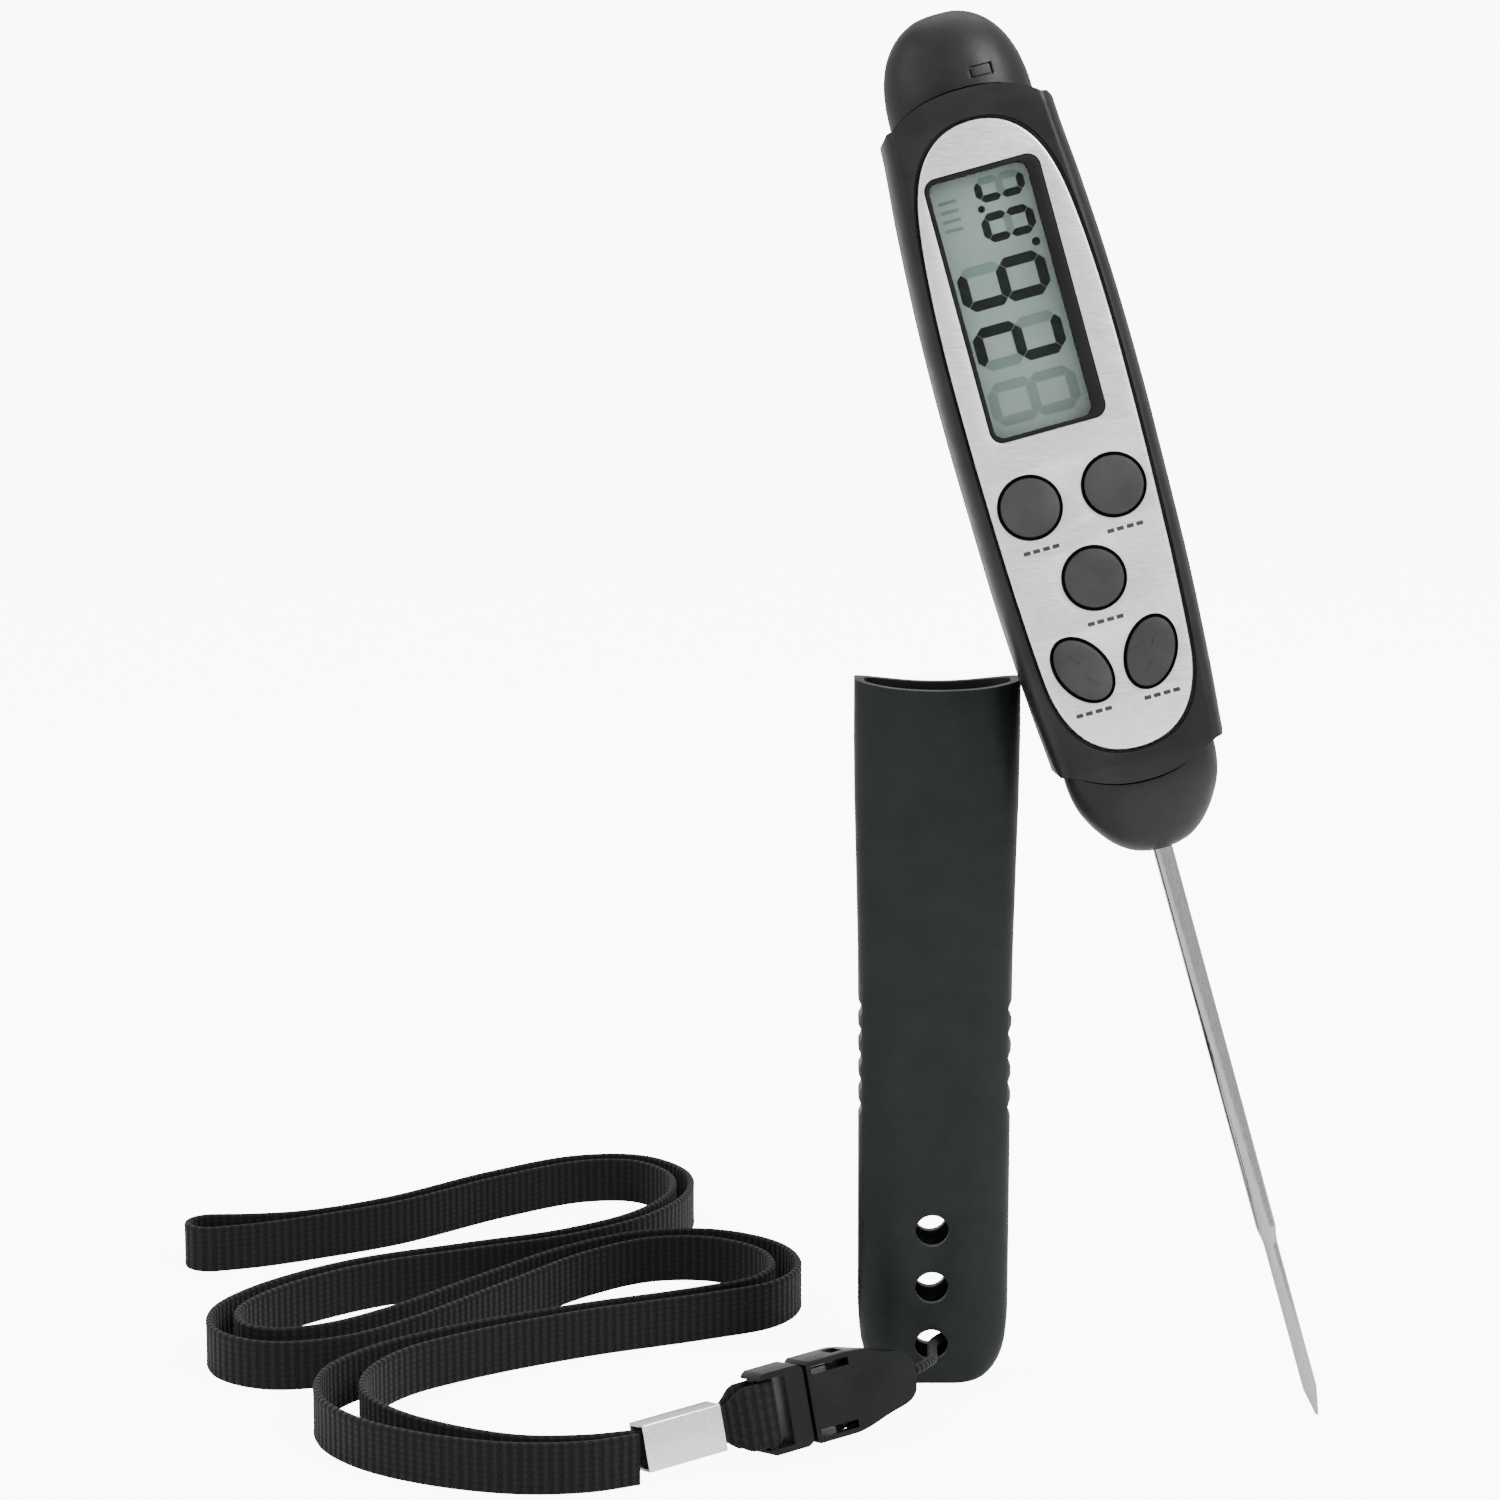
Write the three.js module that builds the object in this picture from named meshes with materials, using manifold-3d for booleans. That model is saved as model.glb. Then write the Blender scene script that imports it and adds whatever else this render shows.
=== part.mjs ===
// Pocket stem thermometer leaning on its upright probe sheath, with the neck lanyard on the floor.
// Units are millimetres. +Z is up, +X is to the reader's right and -Y faces the reader.
// The thermometer is built upright on its own axis (probe point at 0, +Z towards the battery cap,
// -Y out of the face plate) and is then leaned as one group.
import * as THREE from 'three';
import { mergeVertices } from 'three/addons/utils/BufferGeometryUtils.js';
import Module from 'manifold-3d';

const wasm = await Module();
wasm.setup();

// ---- Driving dimensions -------------------------------------------------------------------
const GAP = 0.3;                    // clearance left between touching pieces

// Resting place of each group
const PROBE_POINT = [27.86, -12.34, 0.12];
const LEAN_SIDE_DEG = 15.5;
const LEAN_BACK_DEG = 6.75;
const SHEATH_CENTRE = [-17.99, 3.76];
const BUCKLE_START = [-52.87, -35.51, 1.0];
const BUCKLE_YAW_DEG = 30;
const BUCKLE_PITCH_DEG = 5;
const BUCKLE_LEAN_DEG = 11;

// Stations along the thermometer's axis
const POINT_Z = -1.0;
const NOSE_END = 70.35;
const NOSE_TONGUE = 79.3;
const SHOULDER_LOW = 81.9;
const WAIST_Z = 126;
const SHOULDER_HIGH = 160.5;
const CAP_TONGUE = 163.1;
const CAP_END = 173.05;

// Housing
const FRONT_Y = -7.5;
const BACK_Y = 6.5;
const HALF_WIDTH_LOW = 10.25;
const HALF_WIDTH_MAX = 12.05;
const HALF_WIDTH_HIGH = 10.35;
const WALL = 1.3;
const FRONT_WALL = 2.2;
const FRONT_EDGE = [1.7, 3.6];      // how far the front edge rounds in, and how far it runs back
const BACK_EDGE = [4.2, 4.6];
const HOUSING_STATIONS = [[76, 10.1], [82, 10.25], [90, 10.9], [102, 11.6], [114, 11.9],
  [WAIST_Z, HALF_WIDTH_MAX], [138, 11.85], [150, 11.2], [157, 10.6], [165, 10.2]];
const NECK_BORE = [7.0, 4.4];       // half width and half depth of both end openings
const NECK_LOW_TOP = 84.2;
const NECK_HIGH_BOTTOM = 157.5;

// Face plate, window and keys: positions are [x, z] on the face
const PLATE_ENDS = [83.3, 159.3];
const PLATE_HALF_WIDTH = 10.05;
const PLATE_Y = [-7.7, -6.9];
const RECESS_FLOOR_Y = -6.6;
const WINDOW_X = -0.35;
const WINDOW_CENTRE_Z = 137.9;
const WINDOW_SIZE = [14.1, 32.0];
const WINDOW_RADIUS = 1.9;
const GASKET_OPENING = [5.95, 15.4];
const GASKET_OFFSET_X = -0.85;       // its frame is wider on the right, over the display's tails
const KEY_TOP_Y = -8.3;
const KEY_FLANGE_Y = [-5.0, -4.4];
const KEY_FLANGE = 0.85;
const KEY_CLEARANCE = 0.45;
const KEYS = [
  { name: 'key_upper_left', at: [-5.1, 113.85], radii: [3.45, 3.45], turn: 0 },
  { name: 'key_upper_right', at: [5.1, 113.85], radii: [3.45, 3.45], turn: 0 },
  { name: 'key_centre', at: [0, 103.9], radii: [3.45, 3.45], turn: 0 },
  { name: 'key_lower_left', at: [-4.15, 93.8], radii: [2.7, 4.1], turn: 29 },
  { name: 'key_lower_right', at: [4.15, 93.8], radii: [2.7, 4.1], turn: -29 },
];

// Probe
const PROBE_RADIUS = 1.2;
const TIP_RADIUS = 0.85;
const TIP_LENGTH = 21;
const PROBE_TOP = 80;

// Sheath
const SHEATH_HEIGHT = 87.7;
const SHEATH_HALF_TOP = 10.05;
const SHEATH_HALF_LOW = 9.25;
const SHEATH_WALL = 1.2;
const MOUTH_DIP = 1.05;
const HOLE_RADIUS = 2.05;
const HOLE_HEIGHTS = [4.9, 12.25, 19.5];
const HOLE_X = -0.25;
const GRIP_START = 34.5;
const GRIP_PITCH = 3.1;
const GRIP_COUNT = 5;

// Lanyard
const STRAP_WIDTH = 6.2;
const STRAP_THICKNESS = 1.0;
const CRIMP_LENGTH = 10.4;
const CRIMP_HEIGHT = 5.6;
const SOCKET_START = 21.8;
const SOCKET_LENGTH = 14.3;
const BUCKLE_HEIGHT = 9.8;
const BUCKLE_AXIS_Z = 3.05;         // height of the line that the crimp, tail and buckle share
const TETHER_RADIUS = 0.6;
const KNOT_RADIUS = 2.3;
const KNOT_CENTRE = [-13.7, 3.78, 11.2];

// Middle line of the doubled strap on the floor: [x, y, half the distance between its strands]
const LANYARD_ROUTE = [
  [-53.62, -35.86, 0.65], [-59.42, -37.91, 1.1], [-67.22, -38.21, 1.35], [-76.72, -34.71, 2.0],
  [-84.52, -28.91, 2.5], [-88.92, -21.71, 2.7], [-89.12, -13.11, 2.6], [-84.52, -4.51, 1.9],
  [-75.72, 3.09, 1.6], [-61.72, 11.49, 1.35], [-46.72, 18.49, 1.4], [-38.72, 23.49, 1.6],
  [-36.02, 30.29, 1.7], [-38.32, 38.49, 1.8], [-45.62, 43.89, 1.8], [-54.32, 43.49, 1.7],
  [-63.22, 37.09, 1.9], [-73.72, 23.69, 2.3], [-84.72, 9.09, 2.6], [-92.32, 2.09, 2.9],
  [-99.52, 0.09, 2.7], [-104.92, 3.29, 2.1], [-106.62, 10.49, 1.6], [-102.72, 19.69, 1.4],
  [-92.22, 30.49, 1.35], [-77.72, 38.29, 1.3], [-65.02, 44.69, 1.25], [-55.52, 53.29, 1.2],
  [-50.62, 63.69, 1.2], [-50.92, 74.09, 1.3], [-56.72, 81.29, 1.4], [-64.72, 81.19, 1.4],
  [-76.22, 73.09, 1.35], [-89.72, 60.09, 1.3], [-100.22, 53.49, 1.4], [-107.72, 50.69, 2.4],
  [-113.32, 49.59, 3.2],
];
const ROUTE_STEPS_PER_POINT = 2;
const FAR_BEND_STEPS = 8;

// Thin cord from the buckle into the lowest hole of the sheath
const TETHER_ROUTE = [
  [-25.1, -18.8, 6.8], [-20.95, -16.4, 7.15], [-19.0, -12.6, 6.9],
  [-18.4, -7.6, 5.7], [-18.24, -2.6, 4.95], [-18.0, 0.6, 4.95],
  [-16.6, 3.0, 5.1], [-14.4, 3.8, 6.6], [-13.7, 3.78, 10.4],
];

// ---- Materials ----------------------------------------------------------------------------
const paint = (color, roughness, metalness = 0) =>
  new THREE.MeshStandardMaterial({ color, roughness, metalness });
const HOUSING_BLACK = [0x2b2a29, 0.55];
const KEY_GREY = [0x4c4b49, 0.7];
const SHEATH_BLACK = [0x242826, 0.5];
const STRAP_BLACK = [0x151515, 0.95];

// ---- Solid helpers ------------------------------------------------------------------------
function toSolid(geometry) {
  const bare = geometry.clone();
  bare.deleteAttribute('normal');
  bare.deleteAttribute('uv');
  const merged = mergeVertices(bare, 1e-5);
  const mesh = new wasm.Mesh({
    numProp: 3,
    vertProperties: new Float32Array(merged.attributes.position.array),
    triVerts: new Uint32Array(merged.index.array),
  });
  mesh.merge();
  return new wasm.Manifold(mesh);
}

function toGeometry(solid) {
  const mesh = solid.getMesh();
  const geometry = new THREE.BufferGeometry();
  geometry.setAttribute('position', new THREE.BufferAttribute(mesh.vertProperties, 3));
  geometry.setIndex(new THREE.BufferAttribute(mesh.triVerts, 1));
  geometry.computeVertexNormals();
  return geometry;
}

const cut = (geometry, ...tools) =>
  toGeometry(tools.reduce((solid, tool) => solid.subtract(toSolid(tool)), toSolid(geometry)));
const join = (geometry, ...others) =>
  toGeometry(others.reduce((solid, other) => solid.add(toSolid(other)), toSolid(geometry)));
const common = (a, b) => toGeometry(toSolid(a).intersect(toSolid(b)));

function addPart(group, name, geometry, [color, roughness, metalness]) {
  const mesh = new THREE.Mesh(geometry, paint(color, roughness, metalness));
  mesh.name = name;
  group.add(mesh);
  return mesh;
}

// A box from its low corner to its high corner
function block(low, high) {
  const size = high.map((value, i) => value - low[i]);
  const geometry = new THREE.BoxGeometry(...size);
  return geometry.translate(...low.map((value, i) => value + size[i] / 2));
}

// A flat outline in x and z, given thickness from the y nearest the reader to the y behind it.
// edge = [how far its rim rounds in, over what depth]; the outline stays its full size.
function slab(shape, [nearY, farY], edge = [0, 0], rounds = 3, curveSegments = 8) {
  const rounded = edge[0] > 0;
  const straight = farY - nearY - (rounded ? 2 * edge[1] : 0);
  const geometry = new THREE.ExtrudeGeometry(shape, {
    depth: straight,
    bevelEnabled: rounded,
    bevelSize: edge[0],
    bevelThickness: edge[1],
    bevelOffset: -edge[0],
    bevelSegments: rounds,
    curveSegments,
  });
  geometry.rotateX(Math.PI / 2);
  return geometry.translate(0, farY - (rounded ? edge[1] : 0), 0);
}

// A quarter ellipse of points round a corner centre
function corner([x, y], [radiusX, radiusY], fromDeg, steps = 5) {
  const points = [];
  for (let i = 0; i <= steps; i += 1) {
    const angle = THREE.MathUtils.degToRad(fromDeg + 90 * i / steps);
    points.push([x + radiusX * Math.cos(angle), y + radiusY * Math.sin(angle)]);
  }
  return points;
}

// A closed body through rounded sections stacked along z. Each station gives its z, half width,
// nearest and farthest y, and how far the front and back corners round in x and y.
function loft(stations) {
  const rings = stations.map(([z, half, near, far, front, back]) => [
    ...corner([half - front[0], near + front[1]], front, -90),
    ...corner([half - back[0], far - back[1]], back, 0),
    ...corner([back[0] - half, far - back[1]], back, 90),
    ...corner([front[0] - half, near + front[1]], front, 180),
  ].map(([x, y]) => [x, y, z]));
  const count = rings[0].length;
  const faces = [];
  for (let i = 0; i < rings.length - 1; i += 1) {
    for (let j = 0; j < count; j += 1) {
      const [a, b] = [i * count + j, i * count + (j + 1) % count];
      faces.push(a, b, b + count, a, b + count, a + count);
    }
  }
  const top = (rings.length - 1) * count;
  for (let j = 1; j < count - 1; j += 1) {
    faces.push(0, j + 1, j, top, top + j, top + j + 1);
  }
  const geometry = new THREE.BufferGeometry();
  geometry.setAttribute('position', new THREE.Float32BufferAttribute(rings.flat(2), 3));
  geometry.setIndex(faces);
  return geometry;
}

// A cylinder whose axis runs along y
function pinAlongY(radius, [nearY, farY], [x, z], sides = 20) {
  const geometry = new THREE.CylinderGeometry(radius, radius, farY - nearY, sides);
  return geometry.translate(x, (nearY + farY) / 2, z);
}

// A body turned about the z axis from [radius, z] pairs, squashed in depth
function turned(profile, depthScale = 1, sides = 28) {
  const points = profile.map(([radius, z]) => new THREE.Vector2(radius, z));
  const geometry = new THREE.LatheGeometry(points, sides);
  geometry.rotateX(Math.PI / 2);
  return geometry.scale(1, depthScale, 1);
}

function roundedRect(halfWidth, halfHeight, radius, centreZ = 0) {
  const shape = new THREE.Shape();
  const [w, h, r] = [halfWidth, halfHeight, radius];
  shape.moveTo(-w + r, centreZ - h);
  shape.lineTo(w - r, centreZ - h);
  shape.quadraticCurveTo(w, centreZ - h, w, centreZ - h + r);
  shape.lineTo(w, centreZ + h - r);
  shape.quadraticCurveTo(w, centreZ + h, w - r, centreZ + h);
  shape.lineTo(-w + r, centreZ + h);
  shape.quadraticCurveTo(-w, centreZ + h, -w, centreZ + h - r);
  shape.lineTo(-w, centreZ - h + r);
  shape.quadraticCurveTo(-w, centreZ - h, -w + r, centreZ - h);
  return shape;
}

function ellipse([x, z], [radiusX, radiusZ], turnDeg) {
  const shape = new THREE.Shape();
  shape.absellipse(x, z, radiusX, radiusZ, 0, Math.PI * 2, false, THREE.MathUtils.degToRad(turnDeg));
  return shape;
}

// A column of rounded section standing along z, half width by half depth
function column([halfWidth, halfDepth], radius, [lowZ, highZ]) {
  const geometry = new THREE.ExtrudeGeometry(roundedRect(halfWidth, halfDepth, radius), {
    depth: highZ - lowZ,
    bevelEnabled: false,
    curveSegments: 5,
  });
  return geometry.translate(0, 0, lowZ);
}

// Mirrors the right half of an outline, given from its lowest to its highest point
function mirroredShape(rightPath, segments) {
  const right = rightPath.getPoints(segments);
  const left = right.slice(1, -1).reverse().map((p) => new THREE.Vector2(-p.x, p.y));
  return new THREE.Shape([...right, ...left]);
}

// ---- Outlines -----------------------------------------------------------------------------
// Housing seen from the front between its two end joints, grown by a clearance where asked
function housingOutline(grow = 0) {
  const path = new THREE.Path();
  const low = SHOULDER_LOW - grow;
  const high = SHOULDER_HIGH + grow;
  path.moveTo(0, NOSE_TONGUE - grow);
  path.bezierCurveTo(4.6, NOSE_TONGUE - grow, 6.8, low - 0.9, 9.0, low);
  path.lineTo(HALF_WIDTH_LOW - 0.4, low + 0.1);
  path.lineTo(HALF_WIDTH_LOW + 0.1, low + 0.8);
  path.lineTo(14, low + 3);
  path.lineTo(14, high - 3);
  path.lineTo(HALF_WIDTH_HIGH, high - 0.8);
  path.lineTo(HALF_WIDTH_HIGH - 0.6, high - 0.1);
  path.lineTo(9.0, high);
  path.bezierCurveTo(7, high + 1.6, 4.6, CAP_TONGUE + grow, 0, CAP_TONGUE + grow);
  return mirroredShape(path, 6);
}

function plateOutline(grow) {
  const path = new THREE.Path();
  const [low, high] = [PLATE_ENDS[0] - grow, PLATE_ENDS[1] + grow];
  const wide = PLATE_HALF_WIDTH + grow;
  path.moveTo(0, low);
  path.bezierCurveTo(5.2 + grow, low, 8.0 + grow, low + 3.6, 8.8 + grow, low + 9.2);
  path.bezierCurveTo(9.4 + grow, low + 15, wide, low + 30, wide, WAIST_Z + 3);
  path.bezierCurveTo(wide, WAIST_Z + 14, 9.3 + grow, high - 10.4, 8.2 + grow, high - 7);
  path.bezierCurveTo(6.9 + grow, high - 2.6, 4.2 + grow, high, 0, high);
  return mirroredShape(path, 8);
}

// ---- Thermometer --------------------------------------------------------------------------
const windowHalf = WINDOW_SIZE.map((value) => value / 2);

// What the gasket leaves open, drawn smaller by a clearance where asked
function gasketOpening(shrink, depth) {
  const [halfWidth, halfHeight] = GASKET_OPENING.map((value) => value - shrink);
  return slab(roundedRect(halfWidth, halfHeight, 1.4, WINDOW_CENTRE_Z), depth)
    .translate(GASKET_OFFSET_X, 0, 0);
}

function windowOutline(shrink) {
  const [halfWidth, halfHeight] = windowHalf.map((value) => value - shrink);
  return roundedRect(halfWidth, halfHeight, Math.max(WINDOW_RADIUS - shrink, 0.6), WINDOW_CENTRE_Z);
}

function housingBody(inset, [near, far], frontEdge, backEdge) {
  return loft(HOUSING_STATIONS.map(([z, half]) =>
    [z, half - inset, near, far, frontEdge, backEdge]));
}

function housingHalf(front) {
  const body = housingBody(0, [FRONT_Y, BACK_Y], FRONT_EDGE, BACK_EDGE);
  const outer = common(body, slab(housingOutline(), [-20, 20]));
  const inside = [FRONT_Y + FRONT_WALL, BACK_Y - WALL];
  const hollow = common(
    housingBody(WALL, inside, [1.0, 2.2], [3.6, 3.9]),
    block([-12, -9, NECK_LOW_TOP], [12, 9, NECK_HIGH_BOTTOM]),
  );
  const necks = [
    column(NECK_BORE, 3.2, [NOSE_TONGUE - 4, NECK_LOW_TOP + 2]),
    column(NECK_BORE, 3.2, [NECK_HIGH_BOTTOM - 2, CAP_TONGUE + 2]),
  ];
  const keep = front
    ? block([-15, -12, 60], [15, -GAP / 2, 180])
    : block([-15, GAP / 2, 60], [15, 12, 180]);
  return cut(common(outer, keep), hollow, ...necks);
}

function frontShell() {
  const through = [FRONT_Y - 2, FRONT_Y + FRONT_WALL + 0.5];
  const tools = [
    slab(plateOutline(0.35), [FRONT_Y - 2, RECESS_FLOOR_Y]),
    slab(windowOutline(0), through).translate(WINDOW_X, 0, 0),
  ];
  for (const key of KEYS) {
    const radii = key.radii.map((radius) => radius + KEY_CLEARANCE);
    tools.push(slab(ellipse(key.at, radii, key.turn), through, [0, 0], 1, 9));
  }
  return cut(housingHalf(true), ...tools);
}

function facePlate() {
  const through = [PLATE_Y[0] - 1, PLATE_Y[1] + 1];
  const tools = [slab(windowOutline(0), through).translate(WINDOW_X, 0, 0)];
  for (const key of KEYS) {
    const radii = key.radii.map((radius) => radius + KEY_CLEARANCE);
    tools.push(slab(ellipse(key.at, radii, key.turn), through, [0, 0], 1, 9));
  }
  return cut(slab(plateOutline(0), PLATE_Y, [0.2, 0.2], 1), ...tools);
}

function keyCap(key) {
  const flangeRadii = key.radii.map((radius) => radius + KEY_FLANGE);
  const stem = slab(ellipse(key.at, key.radii, key.turn), [KEY_TOP_Y, KEY_FLANGE_Y[1]], [0.35, 0.35], 2, 9);
  const flange = slab(ellipse(key.at, flangeRadii, key.turn), KEY_FLANGE_Y, [0, 0], 1, 9);
  return join(stem, flange);
}

function keypadMembrane() {
  const sheet = slab(roundedRect(9.0, 16.4, 4, 103.6), [-3.6, -3.0]);
  const pads = KEYS.map((key) => pinAlongY(1.6, [-3.1, -1.5], key.at, 12));
  return join(sheet, ...pads);
}

// The battery cap: a dome that meets the housing end along a fine groove, and a plug below it
function batteryCap() {
  const dome = turned([
    [0, 158], [8.75, 158], [8.8, 161.4], [8.65, 164.0], [8.1, 166.8], [7.0, 169.3],
    [5.2, 171.4], [2.8, 172.7], [0, CAP_END],
  ], 0.72, 30);
  const housing = slab(housingOutline(GAP), [FRONT_Y - 3, BACK_Y + 3]);
  const plugSize = NECK_BORE.map((value) => value - GAP);
  const grooveSize = NECK_BORE.map((value) => value - 1.3);
  const plug = join(
    column(plugSize, 2.9, [161.2, 165]),
    column(grooveSize, 2.1, [159.6, 161.5]),
    column(plugSize, 2.9, [158.5, 159.7]),
  );
  const mark = block([1.6, -8, 164.0], [4.4, -4.0, 165.5]);
  const markCore = block([1.9, -8, 164.3], [4.1, -3.6, 165.2]);
  const body = join(cut(dome, housing), plug);
  return cut(body, cut(mark, markCore, domeCore()));
}

// What stays inside the engraved frame on the cap, so that the frame is only 0.25 mm deep
function domeCore() {
  return turned([
    [0, 158], [8.55, 158], [8.4, 164.0], [7.8, 166.8], [5.0, 171.1], [0, 172.7],
  ], 0.71, 30);
}

function capSeal() {
  const outer = column(NECK_BORE.map((value) => value - 0.12), 3.1, [159.9, 160.95]);
  const inner = column(NECK_BORE.map((value) => value - 1.0), 2.4, [159, 162]);
  return cut(outer, inner);
}

function batteryCarrier() {
  const frame = join(
    block([-6.35, -2.2, 144.3], [6.35, 2.9, 157.2]),
    block([-4, -1.8, 157], [4, 2.6, 158.2]),
  );
  const pocket = pinAlongY(6.1, [-3, 2.6], [0, 151], 24);
  const slot = block([-2.2, -3, 143], [2.2, 3.1, 147]);
  return cut(frame, pocket, slot);
}

function nose() {
  const dome = turned([
    [0, NOSE_END], [1.8, NOSE_END], [3.6, 70.95], [5.5, 72.3], [7.35, 74.6], [8.65, 77.2],
    [9.2, 79.8], [9.25, 83.5], [0, 83.5],
  ], 0.74, 30);
  const housing = slab(housingOutline(GAP), [FRONT_Y - 3, BACK_Y + 3]);
  const plug = column(NECK_BORE.map((value) => value - GAP), 2.9, [76, 84.6]);
  const bore = turned([[0, 60], [PROBE_RADIUS + GAP, 60], [PROBE_RADIUS + GAP, 90], [0, 90]], 1, 16);
  const sealSeat = turned([[0, 60], [1.7, 60], [1.7, 73.6], [0, 73.6]], 1, 16);
  return cut(join(cut(dome, housing), plug), bore, sealSeat);
}

function ringAround(innerRadius, outerRadius, [low, high], sides = 16) {
  const points = [
    [innerRadius, low], [outerRadius, low], [outerRadius, high], [innerRadius, high], [innerRadius, low],
  ];
  return turned(points, 1, sides);
}

// Swaged stainless tube: closed at its point and open at the top, hollow for the sensor
function probeTube() {
  return turned([
    [0, POINT_Z], [0.22, POINT_Z + 0.08], [TIP_RADIUS, 2.4], [TIP_RADIUS, TIP_LENGTH],
    [PROBE_RADIUS, TIP_LENGTH + 1.6], [PROBE_RADIUS, PROBE_TOP],
    [PROBE_RADIUS - 0.25, PROBE_TOP], [PROBE_RADIUS - 0.25, TIP_LENGTH + 2],
    [TIP_RADIUS - 0.2, TIP_LENGTH + 0.4], [TIP_RADIUS - 0.2, 3.2], [0, 2.6],
  ], 1, 14);
}

function wire(points, radius) {
  const section = new THREE.Shape();
  section.absarc(0, 0, radius, 0, Math.PI * 2, false);
  const curve = new THREE.CatmullRomCurve3(points.map((point) => new THREE.Vector3(...point)));
  return new THREE.ExtrudeGeometry(section, { steps: 12, extrudePath: curve, curveSegments: 3 });
}

function contactPlus() {
  const long = block([-1.5, 3.2, 141.0], [1.5, 3.45, 154]);
  const foot = block([-1.5, 0.1, 141.0], [1.5, 3.4, 141.25]);
  return join(long, foot);
}

const thermometer = new THREE.Group();
addPart(thermometer, 'front_shell', frontShell(), HOUSING_BLACK);
addPart(thermometer, 'rear_shell', housingHalf(false), HOUSING_BLACK);
addPart(thermometer, 'face_plate', facePlate(), [0xd6d6d4, 0.35, 0.85]);
addPart(thermometer, 'window_gasket',
  cut(slab(windowOutline(0.12), [-7.62, -5.7]).translate(WINDOW_X, 0, 0), gasketOpening(0, [-9, -5])),
  [0x0a0a0a, 0.8]);
addPart(thermometer, 'window_lens', gasketOpening(0.12, [-7.45, -6.45]), [0xdfe6e4, 0.05]);
addPart(thermometer, 'display_panel',
  slab(roundedRect(7.9, 16.8, 0.4, WINDOW_CENTRE_Z), [-5.0, -3.0]), [0x9aa69f, 0.3]);
addPart(thermometer, 'zebra_strip', block([-6.2, -2.7, 122.6], [6.2, -1.5, 124.6]), [0xc8b7a6, 0.8]);
addPart(thermometer, 'circuit_board',
  slab(roundedRect(8.4, 27.4, 1, 112.6), [-1.2, -0.2]), [0x2d6b3f, 0.5]);
addPart(thermometer, 'control_chip',
  turned([[0, 0], [3.6, 0], [3.4, 0.7], [2.4, 1.2], [0, 1.4]], 1, 16)
    .rotateX(-Math.PI / 2).translate(0, 0.1, 106), [0x111111, 0.4]);
addPart(thermometer, 'keypad_membrane', keypadMembrane(), [0x6b6b69, 0.85]);
for (const key of KEYS) {
  addPart(thermometer, key.name, keyCap(key), KEY_GREY);
}
addPart(thermometer, 'battery_cap', batteryCap(), HOUSING_BLACK);
addPart(thermometer, 'cap_seal', capSeal(), [0x7a2f22, 0.8]);
addPart(thermometer, 'battery_carrier', batteryCarrier(), [0x1d1d1d, 0.6]);
addPart(thermometer, 'button_cell', pinAlongY(5.8, [-1.9, 2.4], [0, 151], 24), [0xc9c9c6, 0.25, 1]);
addPart(thermometer, 'contact_minus', block([-1.5, -2.7, 140.4], [1.5, -2.45, 153]), [0xc0a060, 0.3, 1]);
addPart(thermometer, 'contact_plus', contactPlus(), [0xc0a060, 0.3, 1]);
addPart(thermometer, 'nose', nose(), HOUSING_BLACK);
addPart(thermometer, 'probe_seal',
  ringAround(PROBE_RADIUS + 0.08, 1.62, [NOSE_END + 0.05, 73.3]), [0x1a1a1a, 0.8]);
addPart(thermometer, 'probe_tube', probeTube(), [0xc8c8c6, 0.2, 1]);
addPart(thermometer, 'thermistor',
  new THREE.SphereGeometry(0.36, 10, 6).translate(0, 0, 5.2), [0x222222, 0.4]);
for (const [name, side] of [['sensor_lead_left', -1], ['sensor_lead_right', 1]]) {
  const lead = [[0.28 * side, 0, 6], [0.28 * side, 0, 40], [0.3 * side, 0, 74], [0.6 * side, -0.5, 84.6]];
  addPart(thermometer, name, wire(lead, 0.13), [side < 0 ? 0xb03020 : 0x202020, 0.6]);
}
thermometer.rotation.set(
  THREE.MathUtils.degToRad(-LEAN_BACK_DEG), THREE.MathUtils.degToRad(-LEAN_SIDE_DEG), 0);
const pointOnAxis = new THREE.Vector3(0, 0, POINT_Z).applyEuler(thermometer.rotation);
thermometer.position.set(...PROBE_POINT).sub(pointOnAxis);

// ---- Sheath -------------------------------------------------------------------------------
// Sheath body from its base to past its mouth, drawn smaller by inset on every side
function sheathBody(inset) {
  const stations = [
    [0, 5.4, 3.9], [0.9, 6.9, 4.05], [2.3, 8.05, 4.1], [4.6, 8.85, 4.15], [9, SHEATH_HALF_LOW, 4.2],
    [30, SHEATH_HALF_LOW + 0.05, 4.2], [54, 9.45, 4.25], [66, 9.75, 4.3], [73, 9.95, 4.3],
    [80, SHEATH_HALF_TOP, 4.35], [92, SHEATH_HALF_TOP, 4.35],
  ];
  return loft(stations.map(([z, half, deep], i) => {
    const edge = [(half - inset) * 0.55, (deep - inset) * 0.72];
    return [z + (i < 5 ? inset * 1.2 : 0), half - inset, inset - deep, deep - inset, edge, edge];
  }));
}

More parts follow.
